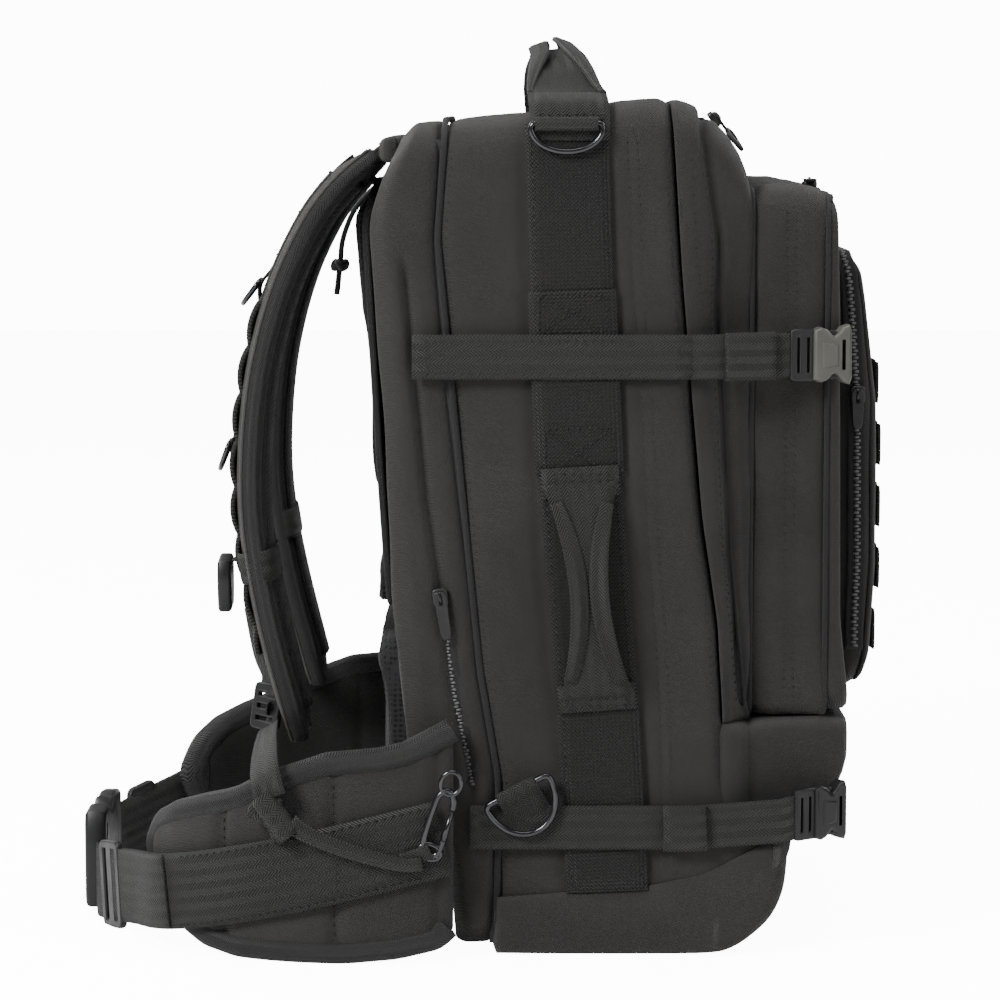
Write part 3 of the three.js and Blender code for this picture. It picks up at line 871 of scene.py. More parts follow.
def lower_pocket():
    """The pocket across the bottom of the front, with its rounded flap."""
    stations = []
    for x, low, high, half in LOWER_POCKET:
        stations.append((float(x), half, low, high, min(9, (high - low) / 2 - 1)))
    return relief(loft(stations, close_last=True), [], 0, 0.8, 9)


rear_skin = rear_section()
main_skin = main_section()
REAR_NODES = ("back_panel", "back_gusset_left", "back_gusset_right")
MAIN_NODES = ("side_panel_left", "side_panel_right", "top_panel")
make("rear_section", rear_skin, NYLON, "pack", REAR_NODES, thickness=2.5)
make("main_section", main_skin, NYLON, "pack", MAIN_NODES, thickness=3.0)
make("base_boot", base_cover(), NYLON, "pack", ("base_cover",), thickness=1.6)
make("bottom_pocket", lower_pocket(), NYLON, "pack", ("lower_pocket",))


# ---------------------------------------------------------------- the door and its pockets
def door():
    """The front of the main section, from the main zip to the face that the pocket sits on."""
    stations = []
    steps = [0, 0.06, 0.15, 0.28, 0.42, 0.56, 0.70, 0.84, 0.94, 1.0]
    halves = [173.5, 174, 173, 171, 167, 163, 159, 155, 152.5, 150]
    tops = [509, 510, 509, 507, 503, 498, 491, 481, 470, 460]
    for t in np.linspace(0, 1, 28):
        half, high = np.interp(t, steps, halves), np.interp(t, steps, tops)
        stations.append((between(main_zip, straight(79.5), t), half, DOOR_LOW, high, 20 - 2 * t))
    for half, low, high in ((140, 150, 450), (100, 180, 420), (40, 240, 360)):
        stations.append((79.8, half, low, high, 16))
    seams = [(second_zip, 141, 520, 5.0, 3.2), (shifted(second_zip, 9), 141, 480, 1.5, 5)]
    return relief(loft(stations, close_last=True, foot=5), seams, 0.6, 1.3, 11)


FRONT_POCKET = [  # x, half width, top, corner radius
    (79.5, 143, 455, 14), (82, 146, 459, 15), (88, 148, 461.5, 16), (95, 148.5, 462, 16), (103, 148, 462, 16),
    (110, 148, 462, 16), (117, 148, 460.5, 16), (122, 147.5, 458.5, 16), (126, 147, 455.5, 16),
]


def front_pocket():
    """The sides of the front pocket."""
    stations = [(float(x), half, 143, high, radius) for x, half, high, radius in FRONT_POCKET]
    return relief(loft(stations, foot=7), [(straight(104), 150, 450, 1.6, 6)], 0, 1.7, 14)


def pocket_cover():
    stations = [(126.3, 147, 143.4, 455.5, 16), (127.5, 147.5, 143, 456, 16)]
    for shift, half, high in ((-2.5, 147.3, 455.5), (0, 145.5, 453.5), (1.0, 142, 450)):
        stations.append((shifted(pocket_face, shift), half, 144 + (455.5 - high), high, 15))
    for inset in (12, 26, 46, 80, 120):
        stations.append((shifted(pocket_face, 1.2), 142 - inset, 151 + inset, 450 - inset, 15))
    return relief(loft(stations, close_last=True), [], 0, 0.5, 17)


def organiser_gusset():
    """The sides of the organiser pocket."""
    stations = []
    for t in (0, 0.12, 0.3, 0.5, 0.7, 0.88, 1.0):
        half = ADMIN_HALF - 1 + 2.5 * math.sin(math.pi * t)
        edge = between(shifted(pocket_face, 1.0), shifted(admin_face, -4.5), t)
        stations.append((edge, half, ADMIN_LOW - 2 + 3 * t, ADMIN_TOP + 2 - 3 * t, 16))
    return relief(loft(stations), [], 0, 0.6, 21)


def organiser_cover():
    stations = [(shifted(admin_face, -4), ADMIN_HALF - 1, ADMIN_LOW + 1, ADMIN_TOP - 1, 15)]
    for inset, shift in ((0.5, -2.5), (2, -1.2), (5, -0.4), (14, 0), (30, 0.2), (60, 0.3), (90, 0.3)):
        low, high = ADMIN_LOW + 1 + inset, ADMIN_TOP - 1 - inset
        stations.append((shifted(admin_face, shift), ADMIN_HALF - inset, low, high, 14))
    return relief(loft(stations, close_last=True), [], 0, 0.4, 23)


door_skin = door()
pocket_skin = front_pocket()
make("door", door_skin, NYLON, "main_door", ("door_shell",), thickness=2.5)
make("front_pocket", pocket_skin, NYLON, "main_door", ("pocket_gusset",), thickness=2.5)
make("pocket_cover", pocket_cover(), NYLON, "pocket_door", ("pocket_panel",), thickness=2.2)
make("organiser_gusset", organiser_gusset(), NYLON, "pocket_door", ("admin_gusset",), thickness=2)
admin_skin = organiser_cover()
make("organiser_cover", admin_skin, NYLON, "admin_door", ("admin_panel",), thickness=2)


# ---------------------------------------------------------------- finding the cloth's surface
class Surface:
    """Where a line across the pack first meets its cloth."""

    def __init__(self, *parts):
        self.trees = [BVHTree.FromPolygons(p.array().tolist(), p.faces) for p in parts]

    def hit(self, origin, direction):
        """Place, normal towards the origin and distance of the first hit, or None."""
        best = None
        for tree in self.trees:
            place, normal, _, distance = tree.ray_cast(Vector(origin), Vector(direction))
            if place is not None and (best is None or distance < best[2]):
                if normal.dot(Vector(direction)) > 0:
                    normal = -normal
                best = (np.array(place), np.array(normal), distance)
        return best

    def side(self, points, lift=0.0):
        """(x, z) points laid on the left side, raised by lift. Gives places and normals."""
        places, normals = [], []
        for x, z in points:
            flat_side = (np.array([x, -HALF, z]), np.array([0, -1.0, 0]), 0)
            place, normal, _ = self.hit((x, -400, z), (0, 1, 0)) or flat_side
            places.append(place + normal * lift)
            normals.append(normal)
        return np.array(places), np.array(normals)

    def front(self, points, lift=0.0):
        """(y, z) points laid on the front."""
        places, normals = [], []
        for y, z in points:
            place, normal, _ = self.hit((400, y, z), (-1, 0, 0))
            places.append(place + normal * lift)
            normals.append(normal)
        return np.array(places), np.array(normals)


body_surface = Surface(rear_skin, main_skin)
door_surface = Surface(door_skin, pocket_skin)


def seam_path(seam, low, high, step=7):
    heights = np.arange(low, high + 0.1, step)
    return [(float(seam(z)), float(z)) for z in heights]


# ---------------------------------------------------------------- piping and stitching
def ring_path(station, lift, foot=None):
    """The ring of a loft's station as a closed path, lifted out by lift."""
    x_of, half, low, high, radius = station
    ring = rounded_ring(half + lift, low - lift, high + lift, radius, foot)
    x = x_of(ring[:, 1]) if callable(x_of) else np.full(len(ring), x_of)
    return np.column_stack([x, ring])


def piping():
    """Cord sewn into the edges of the sections and pockets. Each entry names its piece and its cords."""
    second = ring_path((second_zip, 158.5, DOOR_LOW + 1, 500, 20), 0)
    second = second[second[:, 2] > DOOR_LOW + 6]
    organiser_ring = (shifted(pocket_face, 1.4), ADMIN_HALF + 1, ADMIN_LOW - 3, ADMIN_TOP + 3, 16)
    for name, body, cords in (
        ("rear_piping", "pack", [(ring_path((rear_seam, HALF - 4.5, 6, 500, 20), 0), 2.0, True)]),
        ("door_piping", "main_door", [
            (ring_path((shifted(main_zip, 1.5), 172.5, DOOR_LOW + 1, 509, 20), 0, 5), 1.6, True),
            (second, 1.4, False),
        ]),
        ("pocket_piping", "main_door", [
            (ring_path((straight(80.5), 148, 143, 458, 14), 0, 7), 2.0, True),
            (ring_path((straight(126.0), 147, 143.5, 455, 16), 0.6, 7), 1.7, True),
        ]),
        ("organiser_piping", "pocket_door", [(ring_path(organiser_ring, 0), 1.6, True)]),
    ):
        part = Part()
        for path, radius, closed in cords:
            part.add(*tube(path, radius, closed=closed))
        make(name, part, PIPING, body)


def side_stitching():
    for name, surface, body, seams in (
        ("side_stitching", body_surface, "pack", (
            (stitch_line, 52, 496), (shifted(stitch_line, 6), 52, 496),
            (shifted(rear_seam, 5), 44, 488), (shifted(main_zip, -6), 110, 488))),
        ("door_stitching", door_surface, "main_door", (
            (shifted(main_zip, 9), 150, 480), (shifted(second_zip, -5), 150, 470),
            (straight(101), 150, 452), (straight(107), 150, 452))),
    ):
        part = Part()
        for seam, low, high in seams:
            stitches(part, *surface.side(seam_path(seam, low, high), 0.1))
        pair(name, part, THREAD, body)


piping()
side_stitching()


# ---------------------------------------------------------------- webbing down the sides
WEB_WIDTH = 49
DOUBLED_WEB = (286, 402)
BOX_STITCHES = [(376, 398), (290, 319)]


def side_webbing():
    """The wide web down each side, doubled above the side handle and sewn down with crossed boxes."""
    part, thread = Part(), Part()
    places, _ = body_surface.side(seam_path(web_centre, 40, 500, 9), 0)
    flat = np.column_stack([places[:, 0], np.minimum(places[:, 1], -HALF - 0.2) - 0.9, places[:, 2]])
    part.add(*ribbon(flat, (0, -1, 0), WEB_WIDTH, 2.0))
    doubled = flat[(flat[:, 2] > DOUBLED_WEB[0]) & (flat[:, 2] < DOUBLED_WEB[1])] + (0, -1.3, 0)
    part.add(*ribbon(doubled, (0, -1, 0), WEB_WIDTH + 3, 1.2))
    for edge in (-21.5, 21.5):
        row = flat + np.array([edge, -1.1, 0])
        stitches(thread, row, (0, -1, 0))
    pair("side_webbing", part, WIDE_WEBBING, "pack", ("side_web",))
    for low, high in BOX_STITCHES:
        x = float(web_centre((low + high) / 2))
        corners = [(x - 20, low), (x + 20, low), (x + 20, high), (x - 20, high)]
        for first, second in ((0, 1), (1, 2), (2, 3), (3, 0), (0, 2), (1, 3)):
            line = np.linspace(corners[first], corners[second], 9)
            depth = np.interp(line[:, 1], flat[:, 2], flat[:, 1]) - 2.2
            row = np.column_stack([line[:, 0], depth, line[:, 1]])
            stitches(thread, row, (0, -1, 0), pitch=3.4, length=2.8, width=1.7, height=1.0)
    pair("side_webbing_stitching", thread, THREAD, "pack")


side_webbing()


# ---------------------------------------------------------------- compression straps
STRAP_WIDTH = 26.5
STRAP_FACE = -HALF - 4.2


def buckle_side_release():
    """Plates of the two halves of a side-release buckle for a strap along local X, 27 mm across."""
    start, end = 15.2, 35.0
    female = mirrored_outline([
        (start, 13.2), (start + 2.5, 14.2), (start + 5, 13.2), (start + 8.5, 9.6), (start + 12, 9.0),
        (start + 15, 11.4), (start + 17.5, 14.6), (end - 0.6, 15.2), (end, 13.6),
    ])
    male = mirrored_outline([(0, 13.6), (1.5, 14.3), (13, 14.3), (15, 13)])
    slots = [slot(x, x + 4.0, 11.6) for x in (1.9, 8.2)]
    prong = [(14, 12), (22, 12.6), (26, 14), (29.5, 12.5), (31, 9.5), (26, 8.4), (14, 8.4)]
    other_prong = [(x, -y) for x, y in reversed(prong)]
    rib = [(start + 4, 6.5), (end - 8, 5.5), (end - 8, -5.5), (start + 4, -6.5)]
    return {
        "female": [(female, [slot(end - 4.6, end - 2.4, 9)], 10.5, 2.2), (rib, [], 11.8, 1.2)],
        "male": [(male, slots, 5.5, 1.3), (prong, [], 3.6, 0.8), (other_prong, [], 3.6, 0.8)],
    }


def plates(pieces, origin, x_axis, y_axis):
    """A moulding made of flat plates, each an outline, its holes, a thickness and a bevel."""
    part = Part()
    for outline, holes, thickness, bevel in pieces:
        points, faces = extruded([outline, *holes], thickness, bevel)
        part.add(placed(points, origin, x_axis, y_axis), faces)
    return part


def strap_buckle(name, origin, angle, male_body, female_body, female_material):
    """Both halves of a compression strap's buckle, turned by angle round the pack's corner."""
    buckle = buckle_side_release()
    along = (math.cos(angle), math.sin(angle), 0)
    male = plates(buckle["male"], origin, along, (0, 0, 1))
    pair(f"{name}_buckle_male", male, PLASTIC, male_body, (f"{name}_male",), smooth=False)
    female = plates(buckle["female"], origin, along, (0, 0, 1))
    pair(f"{name}_buckle_female", female, female_material, female_body, (f"{name}_female",), smooth=False)
    return np.array(along)


def upper_straps():
    low, high = box_mm("upper_strap_left")
    middle = (low[2] + high[2]) / 2
    start, end = low[0], high[0]
    path = [(x, STRAP_FACE, middle) for x in np.linspace(start, end + 1, 16)]
    sewn = Part().add(*ribbon(path, (0, -1, 0), STRAP_WIDTH, 2.0))
    pair("upper_strap_webbing", sewn, WEBBING, "pack", ("upper_strap",))
    thread = Part()
    front = STRAP_FACE - 1.1
    for z in (middle - 10, middle + 10):
        stitches(thread, [(start + 4, front, z), (10, front, z)], (0, -1, 0))
    for x in (start + 5, start + 9, 36):
        stitches(thread, [(x, front, middle - 10), (x, front, middle + 10)], (0, -1, 0))
    pair("upper_strap_stitching", thread, THREAD, "pack")

    line = [(end - 2, STRAP_FACE), (52, STRAP_FACE + 0.5), (66, STRAP_FACE + 5.0), (80, STRAP_FACE + 9.2),
            (92, -168.5), (104, -165.2)]
    path = np.array([(x, y, middle) for x, y in curve_through(line, 22)])
    normals = np.cross(directions(path), (0, 0, 1))
    tail = Part().add(*ribbon(path, normals, STRAP_WIDTH, 2.0))
    tail.add(*ribbon(path[9:] + (0, 2.6, 0), normals[9:], 26.0, 1.8))
    fold = (path[:, 0] > 60) & (path[:, 0] < 92)
    outward = np.where(normals[fold][:, 1:2] > 0, -normals[fold], normals[fold])
    tail.add(*ribbon(path[fold] + outward * 3.0, outward, 28.5, 3.4))
    pair("upper_strap_tail", tail, WEBBING, "strap_end", ("upper_strap_end",))
    origin = (103, -164.9, middle)
    along = strap_buckle("upper", origin, 0.285, "strap_end", "main_door", OLIVE)
    tip = np.array(origin) + along * 31.5
    path = curve_through([tip, tip + along * 6 + (0, 3, 0), (138, -146, middle), (136, -138, middle)], 12)
    anchor = Part().add(*ribbon(path, np.cross(directions(path), (0, 0, 1)), 25, 2))
    pair("upper_buckle_anchor", anchor, WEBBING, "main_door")


def lower_straps():
    low, high = box_mm("lower_strap_left")
    middle = (low[2] + high[2]) / 2
    line = [(low[0], middle), (-40, middle), (30, middle), (52, middle + 0.5), (98, middle + 4)]
    path = [(x, STRAP_FACE, z) for x, z in curve_through(line, 30)]
    path += [(103, STRAP_FACE + 1.4, middle + 5), (107.5, STRAP_FACE + 4.6, middle + 5.5)]
    path = np.array(path)
    strap = Part().add(*ribbon(path, np.cross(directions(path), (0, 0, 1)), STRAP_WIDTH, 2.0))
    fold = path[(path[:, 0] > 27) & (path[:, 0] < 54)] + (0, -3.4, 0)
    strap.add(*ribbon(fold, (0, -1, 0), 27.5, 4.2))
    pair("lower_strap_webbing", strap, WEBBING, "pack", ("lower_strap",))
    strap_buckle("lower", (106.5, -177.6, 86), 0.61, "pack", "lower_buckle", PLASTIC)


upper_straps()
lower_straps()


# ---------------------------------------------------------------- rings
def d_ring(depth, width, wire):
    """A closed D of round wire in local X and Y, its bar along X and its bow towards -Y."""
    points = []
    for a in np.linspace(math.pi, 2 * math.pi, 25):
        points.append((width / 2 * math.cos(a), depth * math.sin(a), 0))
    bar = [(width / 2 - 1.5, 2.2, 0)] + [(x, 2.6, 0) for x in np.linspace(width / 2 - 5, -width / 2 + 5, 7)]
    bar += [(-width / 2 + 1.5, 2.2, 0)]
    path = curve_through(points + bar, 72, closed=True)
    return tube(path, wire / 2, 10, closed=True)


def rings():
    """The D-rings at the top and the bottom of each side, and the webbing that holds them."""
    wire = 3.8
    width = 46 - wire
    points, faces, _ = d_ring(14, width, wire)
    part = Part().add(placed(points, (-30.8, -184.2, 495.5), (1, 0, 0), (0, 0, 1)), faces)
    pair("top_d_ring", part, RING, "top_ring", ("top_ring",))
    keeper = Part().add(*tube([(x, -184.2, 497.8) for x in np.linspace(-49.5, -12.5, 12)], 4.2, 12))
    pair("top_ring_keeper", keeper, WEBBING, "pack")
    lean = 0.49
    middle = np.array((-59, -186.8, 100.5))
    bar = (math.cos(lean), 0, math.sin(lean))
    up = np.array((-math.sin(lean), 0, math.cos(lean)))
    points, faces, _ = d_ring(25, width, wire)
    part = Part().add(placed(points, middle, bar, up), faces)
    pair("lower_d_ring", part, RING, "lower_ring", ("lower_ring",))
    over_bar = ((-22, 5.6), (-12, 3.6), (-4, 0.6), (1.5, -2.6), (5.2, 0.8), (1.0, 4.4))
    path = curve_through([middle + up * a + (0, b, 0) for a, b in over_bar], 22)
    tab = Part().add(*ribbon(path, np.cross(directions(path), bar), 26, 1.9))
    pair("lower_ring_tab", tab, WEBBING, "pack")


rings()


# ---------------------------------------------------------------- padded strips
def swept(path, across, section, widths, depths):
    """A closed outline carried along a path, widened by widths along across and by depths out of it."""
    path = np.asarray(path, float)
    across = np.broadcast_to(np.asarray(across, float), path.shape)
    along = directions(path)
    out = unit(np.cross(along, across))
    widths, depths = np.broadcast_to(widths, len(path)), np.broadcast_to(depths, len(path))
    reach = lengths_along(path)
    points, uvs = [], []
    for i, centre in enumerate(path):
        for u, v in section:
            points.append(centre + across[i] * u * widths[i] / 2 + out[i] * v * depths[i] / 2)
            uvs.append((reach[i] * MM, u * widths[i] / 2 * MM))
    return np.array(points), capped_faces(len(path), len(section)), uvs


def pillow_section(sides=28, flat=0.55):
    """A rounded outline, 2 wide and 2 thick, flatter on its faces than an ellipse."""
    outline = []
    for a in np.linspace(0, 2 * math.pi, sides, endpoint=False):
        c, s = math.cos(a), math.sin(a)
        outline.append((math.copysign(abs(c) ** flat, c), math.copysign(abs(s) ** 0.8, s)))
    return outline


def rounded_ends(count, depth, tip=0.25):
    """Depth along a strip that thins at both ends."""
    t = np.linspace(0, 1, count)
    ramp = np.minimum(np.clip(t / 0.06, 0, 1), np.clip((1 - t) / 0.06, 0, 1))
    return depth * (tip + (1 - tip) * ramp ** 0.5)


def loop_webbing(part, path, normals, width, first, pitch, rise):
    """Strap lying flat as far as first, then sewn down every pitch and bulging between the seams."""
    reach = lengths_along(path)
    bulge = np.where(reach > first, rise * np.abs(np.sin(math.pi * (reach - first) / pitch)) ** 0.7, 0)
    part.add(*ribbon(path + normals * (bulge[:, None] - 0.9), normals, width, 4.2))


# ---------------------------------------------------------------- shoulder straps
STRAP_LINE = [(-146, 478), (-165, 462), (-184, 437), (-203, 396), (-216, 345), (-221, 290), (-219, 245),
              (-210, 195), (-197, 143), (-192, 124)]
STRAP_Y = -110


def shoulder_path(count, out=0.0):
    """The near strap's line, moved out by out, and its normals away from the wearer's back."""
    line = curve_through(STRAP_LINE, count)
    path = np.column_stack([line[:, 0], np.full(count, float(STRAP_Y)), line[:, 1]])
    normals = unit(np.cross(directions(path), (0, 1, 0)))
    if normals[count // 2][0] > 0:
        normals = -normals
    return path + normals * out, normals


def bend_at_top(pieces):
    for obj, side in zip(pieces, (LEFT, RIGHT)):
        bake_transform(obj)


STRAP_COUNT = 70
OUTSIDE_COUNT = 150
LOOP_SPACING = 29
CHEST_BAND_Z = 232


def shoulder_pads():
    """The padded strap, its lining, its bound edges and the piping along them."""
    path, normals = shoulder_path(STRAP_COUNT)
    along = np.linspace(0, 1, STRAP_COUNT)
    widths = np.interp(along, [0, 0.08, 0.2, 0.85, 0.95, 1], [50, 62, 66, 64, 54, 36])
    depths = rounded_ends(STRAP_COUNT, 18, 0.45)
    pad = Part().add(*swept(path, (0, 1, 0), pillow_section(), widths, depths))
    bend_at_top(pair("shoulder_pad", pad, NYLON, None, ("shoulder_strap",)))
    inner, _ = shoulder_path(STRAP_COUNT, -5.5)
    lining = Part().add(*swept(inner[3:-3], (0, 1, 0), pillow_section(), widths[3:-3] - 12, 11))
    bend_at_top(pair("shoulder_lining", lining, MESH, None))
    edges, cords = Part(), Part()
    for sign in (-1, 1):
        edges.add(*tube(path + np.outer(widths / 2 - 1.5, (0, sign, 0)), 5.4, 10))
        cords.add(*tube(path + np.outer(widths / 2 + 1.5, (0, sign, 0)) + normals * 5.0, 1.1, 8))
    bend_at_top(pair("shoulder_binding", edges, BINDING, None))
    bend_at_top(pair("shoulder_piping", cords, EDGE_PIPING, None))


def shoulder_webbing():
    """Webbing down the outside of the strap, with the loops sewn into it."""
    loops, thread = Part(), Part()
    outside, out = shoulder_path(OUTSIDE_COUNT, 9.0)
    loop_webbing(loops, outside[10:128], out[10:128], 38, 87, LOOP_SPACING, 3.4)
    loops.add(*ribbon(outside[4:142] - out[4:142] * 0.6, out[4:142], 25, 1.8))
    reach = lengths_along(outside[10:128])
    for seam in np.arange(0, reach[-1], LOOP_SPACING):
        i = 10 + int(np.argmin(abs(reach - seam)))
        row = np.array([outside[i] + (0, dy, 0) + out[i] * 1.3 for dy in (-17, 0, 17)])
        stitches(thread, row, out[i])
    bend_at_top(pair("shoulder_webbing", loops, WEBBING, None))
    pair("shoulder_stitching", thread, THREAD, "shoulder_strap")


def shoulder_fittings():
    """Two rings with their bands, the band that the chest buckle hangs from and the tab at the end."""
    path, normals = shoulder_path(STRAP_COUNT)
    outside, out = shoulder_path(OUTSIDE_COUNT, 9.0)
    rings_part, bands = Part(), Part()
    for at in (0.27, 0.53):
        i = int(at * (OUTSIDE_COUNT - 1))
        along, up = directions(outside)[i], out[i]
        points, faces, _ = d_ring(15, 26, 3.0)
        rings_part.add(placed(points, outside[i] + up * 6.0, (0, 1, 0), -(along * 0.93 + up * 0.3)), faces)
        near = slice(i - 5, i + 6)
        over = outside[near] + out[near] * (3.4 * np.hanning(11))[:, None]
        bands.add(*ribbon(over + out[near] * 0.8, out[near], 24, 1.7))
    pair("shoulder_ring", rings_part, RING, "shoulder_strap")
    i = int(np.argmin(abs(path[:, 2] - CHEST_BAND_Z)))
    hoop = [path[i] + (0, u * 34.5, 0) + normals[i] * v * 11.5 for u, v in pillow_section(30)]
    hoop = np.array(hoop + hoop[:1])
    bands.add(*ribbon(hoop, unit(hoop - path[i]), 19, 1.8))
    pair("shoulder_band", bands, WEBBING, "shoulder_strap")

    line = [path[-16] + normals[-16] * 10, path[-11] + normals[-11] * 11]
    line += [(-211, -111, 160), (-213, -112.5, 149)]
    tab = Part().add(*ribbon(curve_through(line, 14), (-0.8, -0.55, 0), 20, 1.8))
    pair("shoulder_tab", tab, WEBBING, "shoulder_strap")


def sternum_halves():
    """Each half of the chest buckle, hanging from the band round its strap."""
    low, high = box_mm("sternum_buckle_left")
    x = (low[0] + high[0]) / 2 + 1
    y, z = (low[1] + high[1]) / 2, (low[2] + high[2]) / 2
    shape = mirrored_outline([(-14, 10), (-8, 13), (6, 12), (14, 9)])
    hole = slot(-11, -7, 8)
    tongue = mirrored_outline([(13, 6), (20, 5)])
    socket = [(shape, [hole], 8.5, 2)]
    plug = [(shape, [hole], 6, 1.4), (tongue, [], 4, 1)]
    for side, pieces in ((LEFT, socket), (RIGHT, plug)):
        part = plates(pieces, (x, y, z - 1), (0, 0.1, -1), (0, 1, 0.1))
        line = [(-228.5, -110, 232), (-233, -110, 232), (-236.5, -111, 229), (x, y, z + 9)]
        path = curve_through(line, 14)
        strap = Part().add(*ribbon(path, np.cross(directions(path), (0, 1, 0)), 19, 1.7))
        if side == RIGHT:
            part, strap = part.mirrored(), strap.mirrored()
        word = SIDE_NAMES[side]
        body = f"sternum_{word}"
        make(f"chest_buckle_{word}", part, PLASTIC, body, (f"sternum_buckle_{word}",), smooth=False)
        make(f"sternum_strap_{word}", strap, WEBBING, body)


shoulder_pads()
shoulder_webbing()
shoulder_fittings()
sternum_halves()


# ---------------------------------------------------------------- hip belt
WING_LINE = [(-98, -190), (-140, -193), (-190, -190), (-230, -176), (-262, -150), (-280, -119)]
WING_TOP = [(-280, 62), (-277, 72), (-272, 80), (-262, 88), (-245, 95), (-226, 101), (-204, 113), (-172, 124),
            (-140, 127), (-124, 131), (-101, 143), (-98, 145)]
WING_LOW = [(-280, 52), (-277, 40), (-272, 28), (-262, 17), (-245, 7), (-226, 3), (-165, 2), (-132, 5),
            (-109, 10), (-101, 17), (-98, 20)]
QUILT_SEAMS = (-108, -168, -233)
BELT_LINE = [(-104, -201.5), (-126, -203.2), (-160, -204.2), (-194, -201), (-237, -186), (-273, -159),
             (-293, -124), (-313, -90), (-323, -69), (-325.5, -47)]
BELT_SLOPE = 0.245


def wing_strip(count=64):
    plan = curve_through(WING_LINE, count)
    top = np.interp(plan[:, 0], *zip(*WING_TOP))
    low = np.interp(plan[:, 0], *zip(*WING_LOW))
    path = np.column_stack([plan, (top + low) / 2])
    return path, top - low


def outward(path):
    """Level normals along a path round the near side, pointing away from the wearer."""
    out = np.cross(directions(path), (0, 0, 1))
    return -out if out[20][1] > 0 else out


def hip_wings():
    """The padded wing, its lining, the tape round its edge and its quilting."""
    path, heights = wing_strip()
    out = outward(np.column_stack([path[:, :2], np.zeros(len(path))]))
    seam_depth = sum(np.exp(-((path[:, 0] - x) / 3.0) ** 2) for x in QUILT_SEAMS)
    depths = rounded_ends(len(path), 15.5, 0.5) * (1 - 0.42 * np.clip(seam_depth, 0, 1))
    wing = Part().add(*swept_upright(path, out, heights, depths))
    pair("hip_wing_pad", wing, NYLON, "hip_wing", ("hip_wing",))
    inner = path - out * 3.6
    lining = Part().add(*swept_upright(inner[2:-3], out[2:-3], heights[2:-3] - 16, depths[2:-3] * 0.8))
    pair("hip_wing_lining", lining, WING_LINING, "hip_wing")
    rim = [p + (0, 0, h / 2 - 4.5) for p, h in zip(path, heights)]
    rim += [p - (0, 0, h / 2 - 4.5) for p, h in zip(path[::-1], heights[::-1])]
    rim = curve_through(np.array(rim[::2]), 150)
    pair("hip_wing_binding", Part().add(*edge_tape(rim, path, out)), BINDING, "hip_wing")
    thread = Part()
    for x in QUILT_SEAMS[1:]:
        i = int(np.argmin(abs(path[:, 0] - x)))
        face = path[i] + out[i] * 4.8
        reach = heights[i] / 2 - 12
        row = np.array([face + (0, 0, dz) for dz in np.linspace(-reach, reach, 12)])
        stitches(thread, row, out[i])
    pair("hip_wing_stitching", thread, THREAD, "hip_wing")


def swept_upright(path, out, heights, depths):
    """A padded section standing upright along a path, thick along out."""
    section = pillow_section(40, 0.6)
    points, uvs = [], []
    reach = lengths_along(path)
    for i, centre in enumerate(path):
        for u, v in section:
            points.append(centre + np.array((0, 0, u * heights[i] / 2)) + out[i] * v * depths[i] / 2)
            uvs.append((reach[i] * MM, u * heights[i] / 2 * MM))
    return np.array(points), capped_faces(len(path), len(section)), uvs


def edge_tape(rim, path, out):
    """Tape folded over the edge of a strip that follows path: a rounded tube, 15 mm across."""
    along = directions(rim)
    points, uvs = [], []
    section = pillow_section(20, 0.7)
    reach = lengths_along(rim)
    for centre, direction, u in zip(rim, along, reach):
        i = int(np.argmin(abs(path[:, 0] - centre[0])))
        thick = out[i]
        wide = np.cross(direction, thick)
        wide /= np.linalg.norm(wide)
        for a, b in section:
            points.append(centre + wide * a * 7.4 + thick * b * 7.6)
            uvs.append((u * MM, (a * 7.4 + b * 2) * MM))
    return np.array(points), capped_faces(len(rim), len(section)), uvs


def belt_height(x):
    return 29 + BELT_SLOPE * (x + 300)


def hip_webbing():
    """The wide strap along the wing, its stitching and the tri-glide near its end."""
    plan = curve_through(BELT_LINE, 60)
    path = np.column_stack([plan, belt_height(plan[:, 0])])
    out = outward(path)
    strap = Part().add(*ribbon(path, out, 46, 2.2))
    doubled = path[34:50] + out[34:50] * 2.5
    strap.add(*ribbon(doubled, out[34:50], 45, 2.0))
    pair("hip_webbing", strap, WEBBING, "hip_wing", ("hip_web",))
    thread = Part()
    for i in (2, 4, 12):
        row = np.array([path[i] + out[i] * 1.3 + (0, 0, dz) for dz in np.linspace(-20, 20, 9)])
        stitches(thread, row, out[i])
    for dz in (-21, 21):
        stitches(thread, path[2:34] + out[2:34] * 1.3 + (0, 0, dz), out[2:34])
    pair("hip_webbing_stitching", thread, THREAD, "hip_wing")
    i = 49
    outline = rounded_box(26, 52, 4)
    holes = [[(x + dx, y) for x, y in rounded_box(6.5, 46.5, 1.5)] for dx in (-6.4, 6.4)]
    glide = plates([(outline, holes, 4.6, 1.2)], path[i] + out[i] * 1.4, directions(path)[i], (0, 0, 1))
    pair("hip_tri_glide", glide, PLASTIC, "hip_wing", smooth=False)


BELT_BUCKLE_AT = (-326, 0, 34)


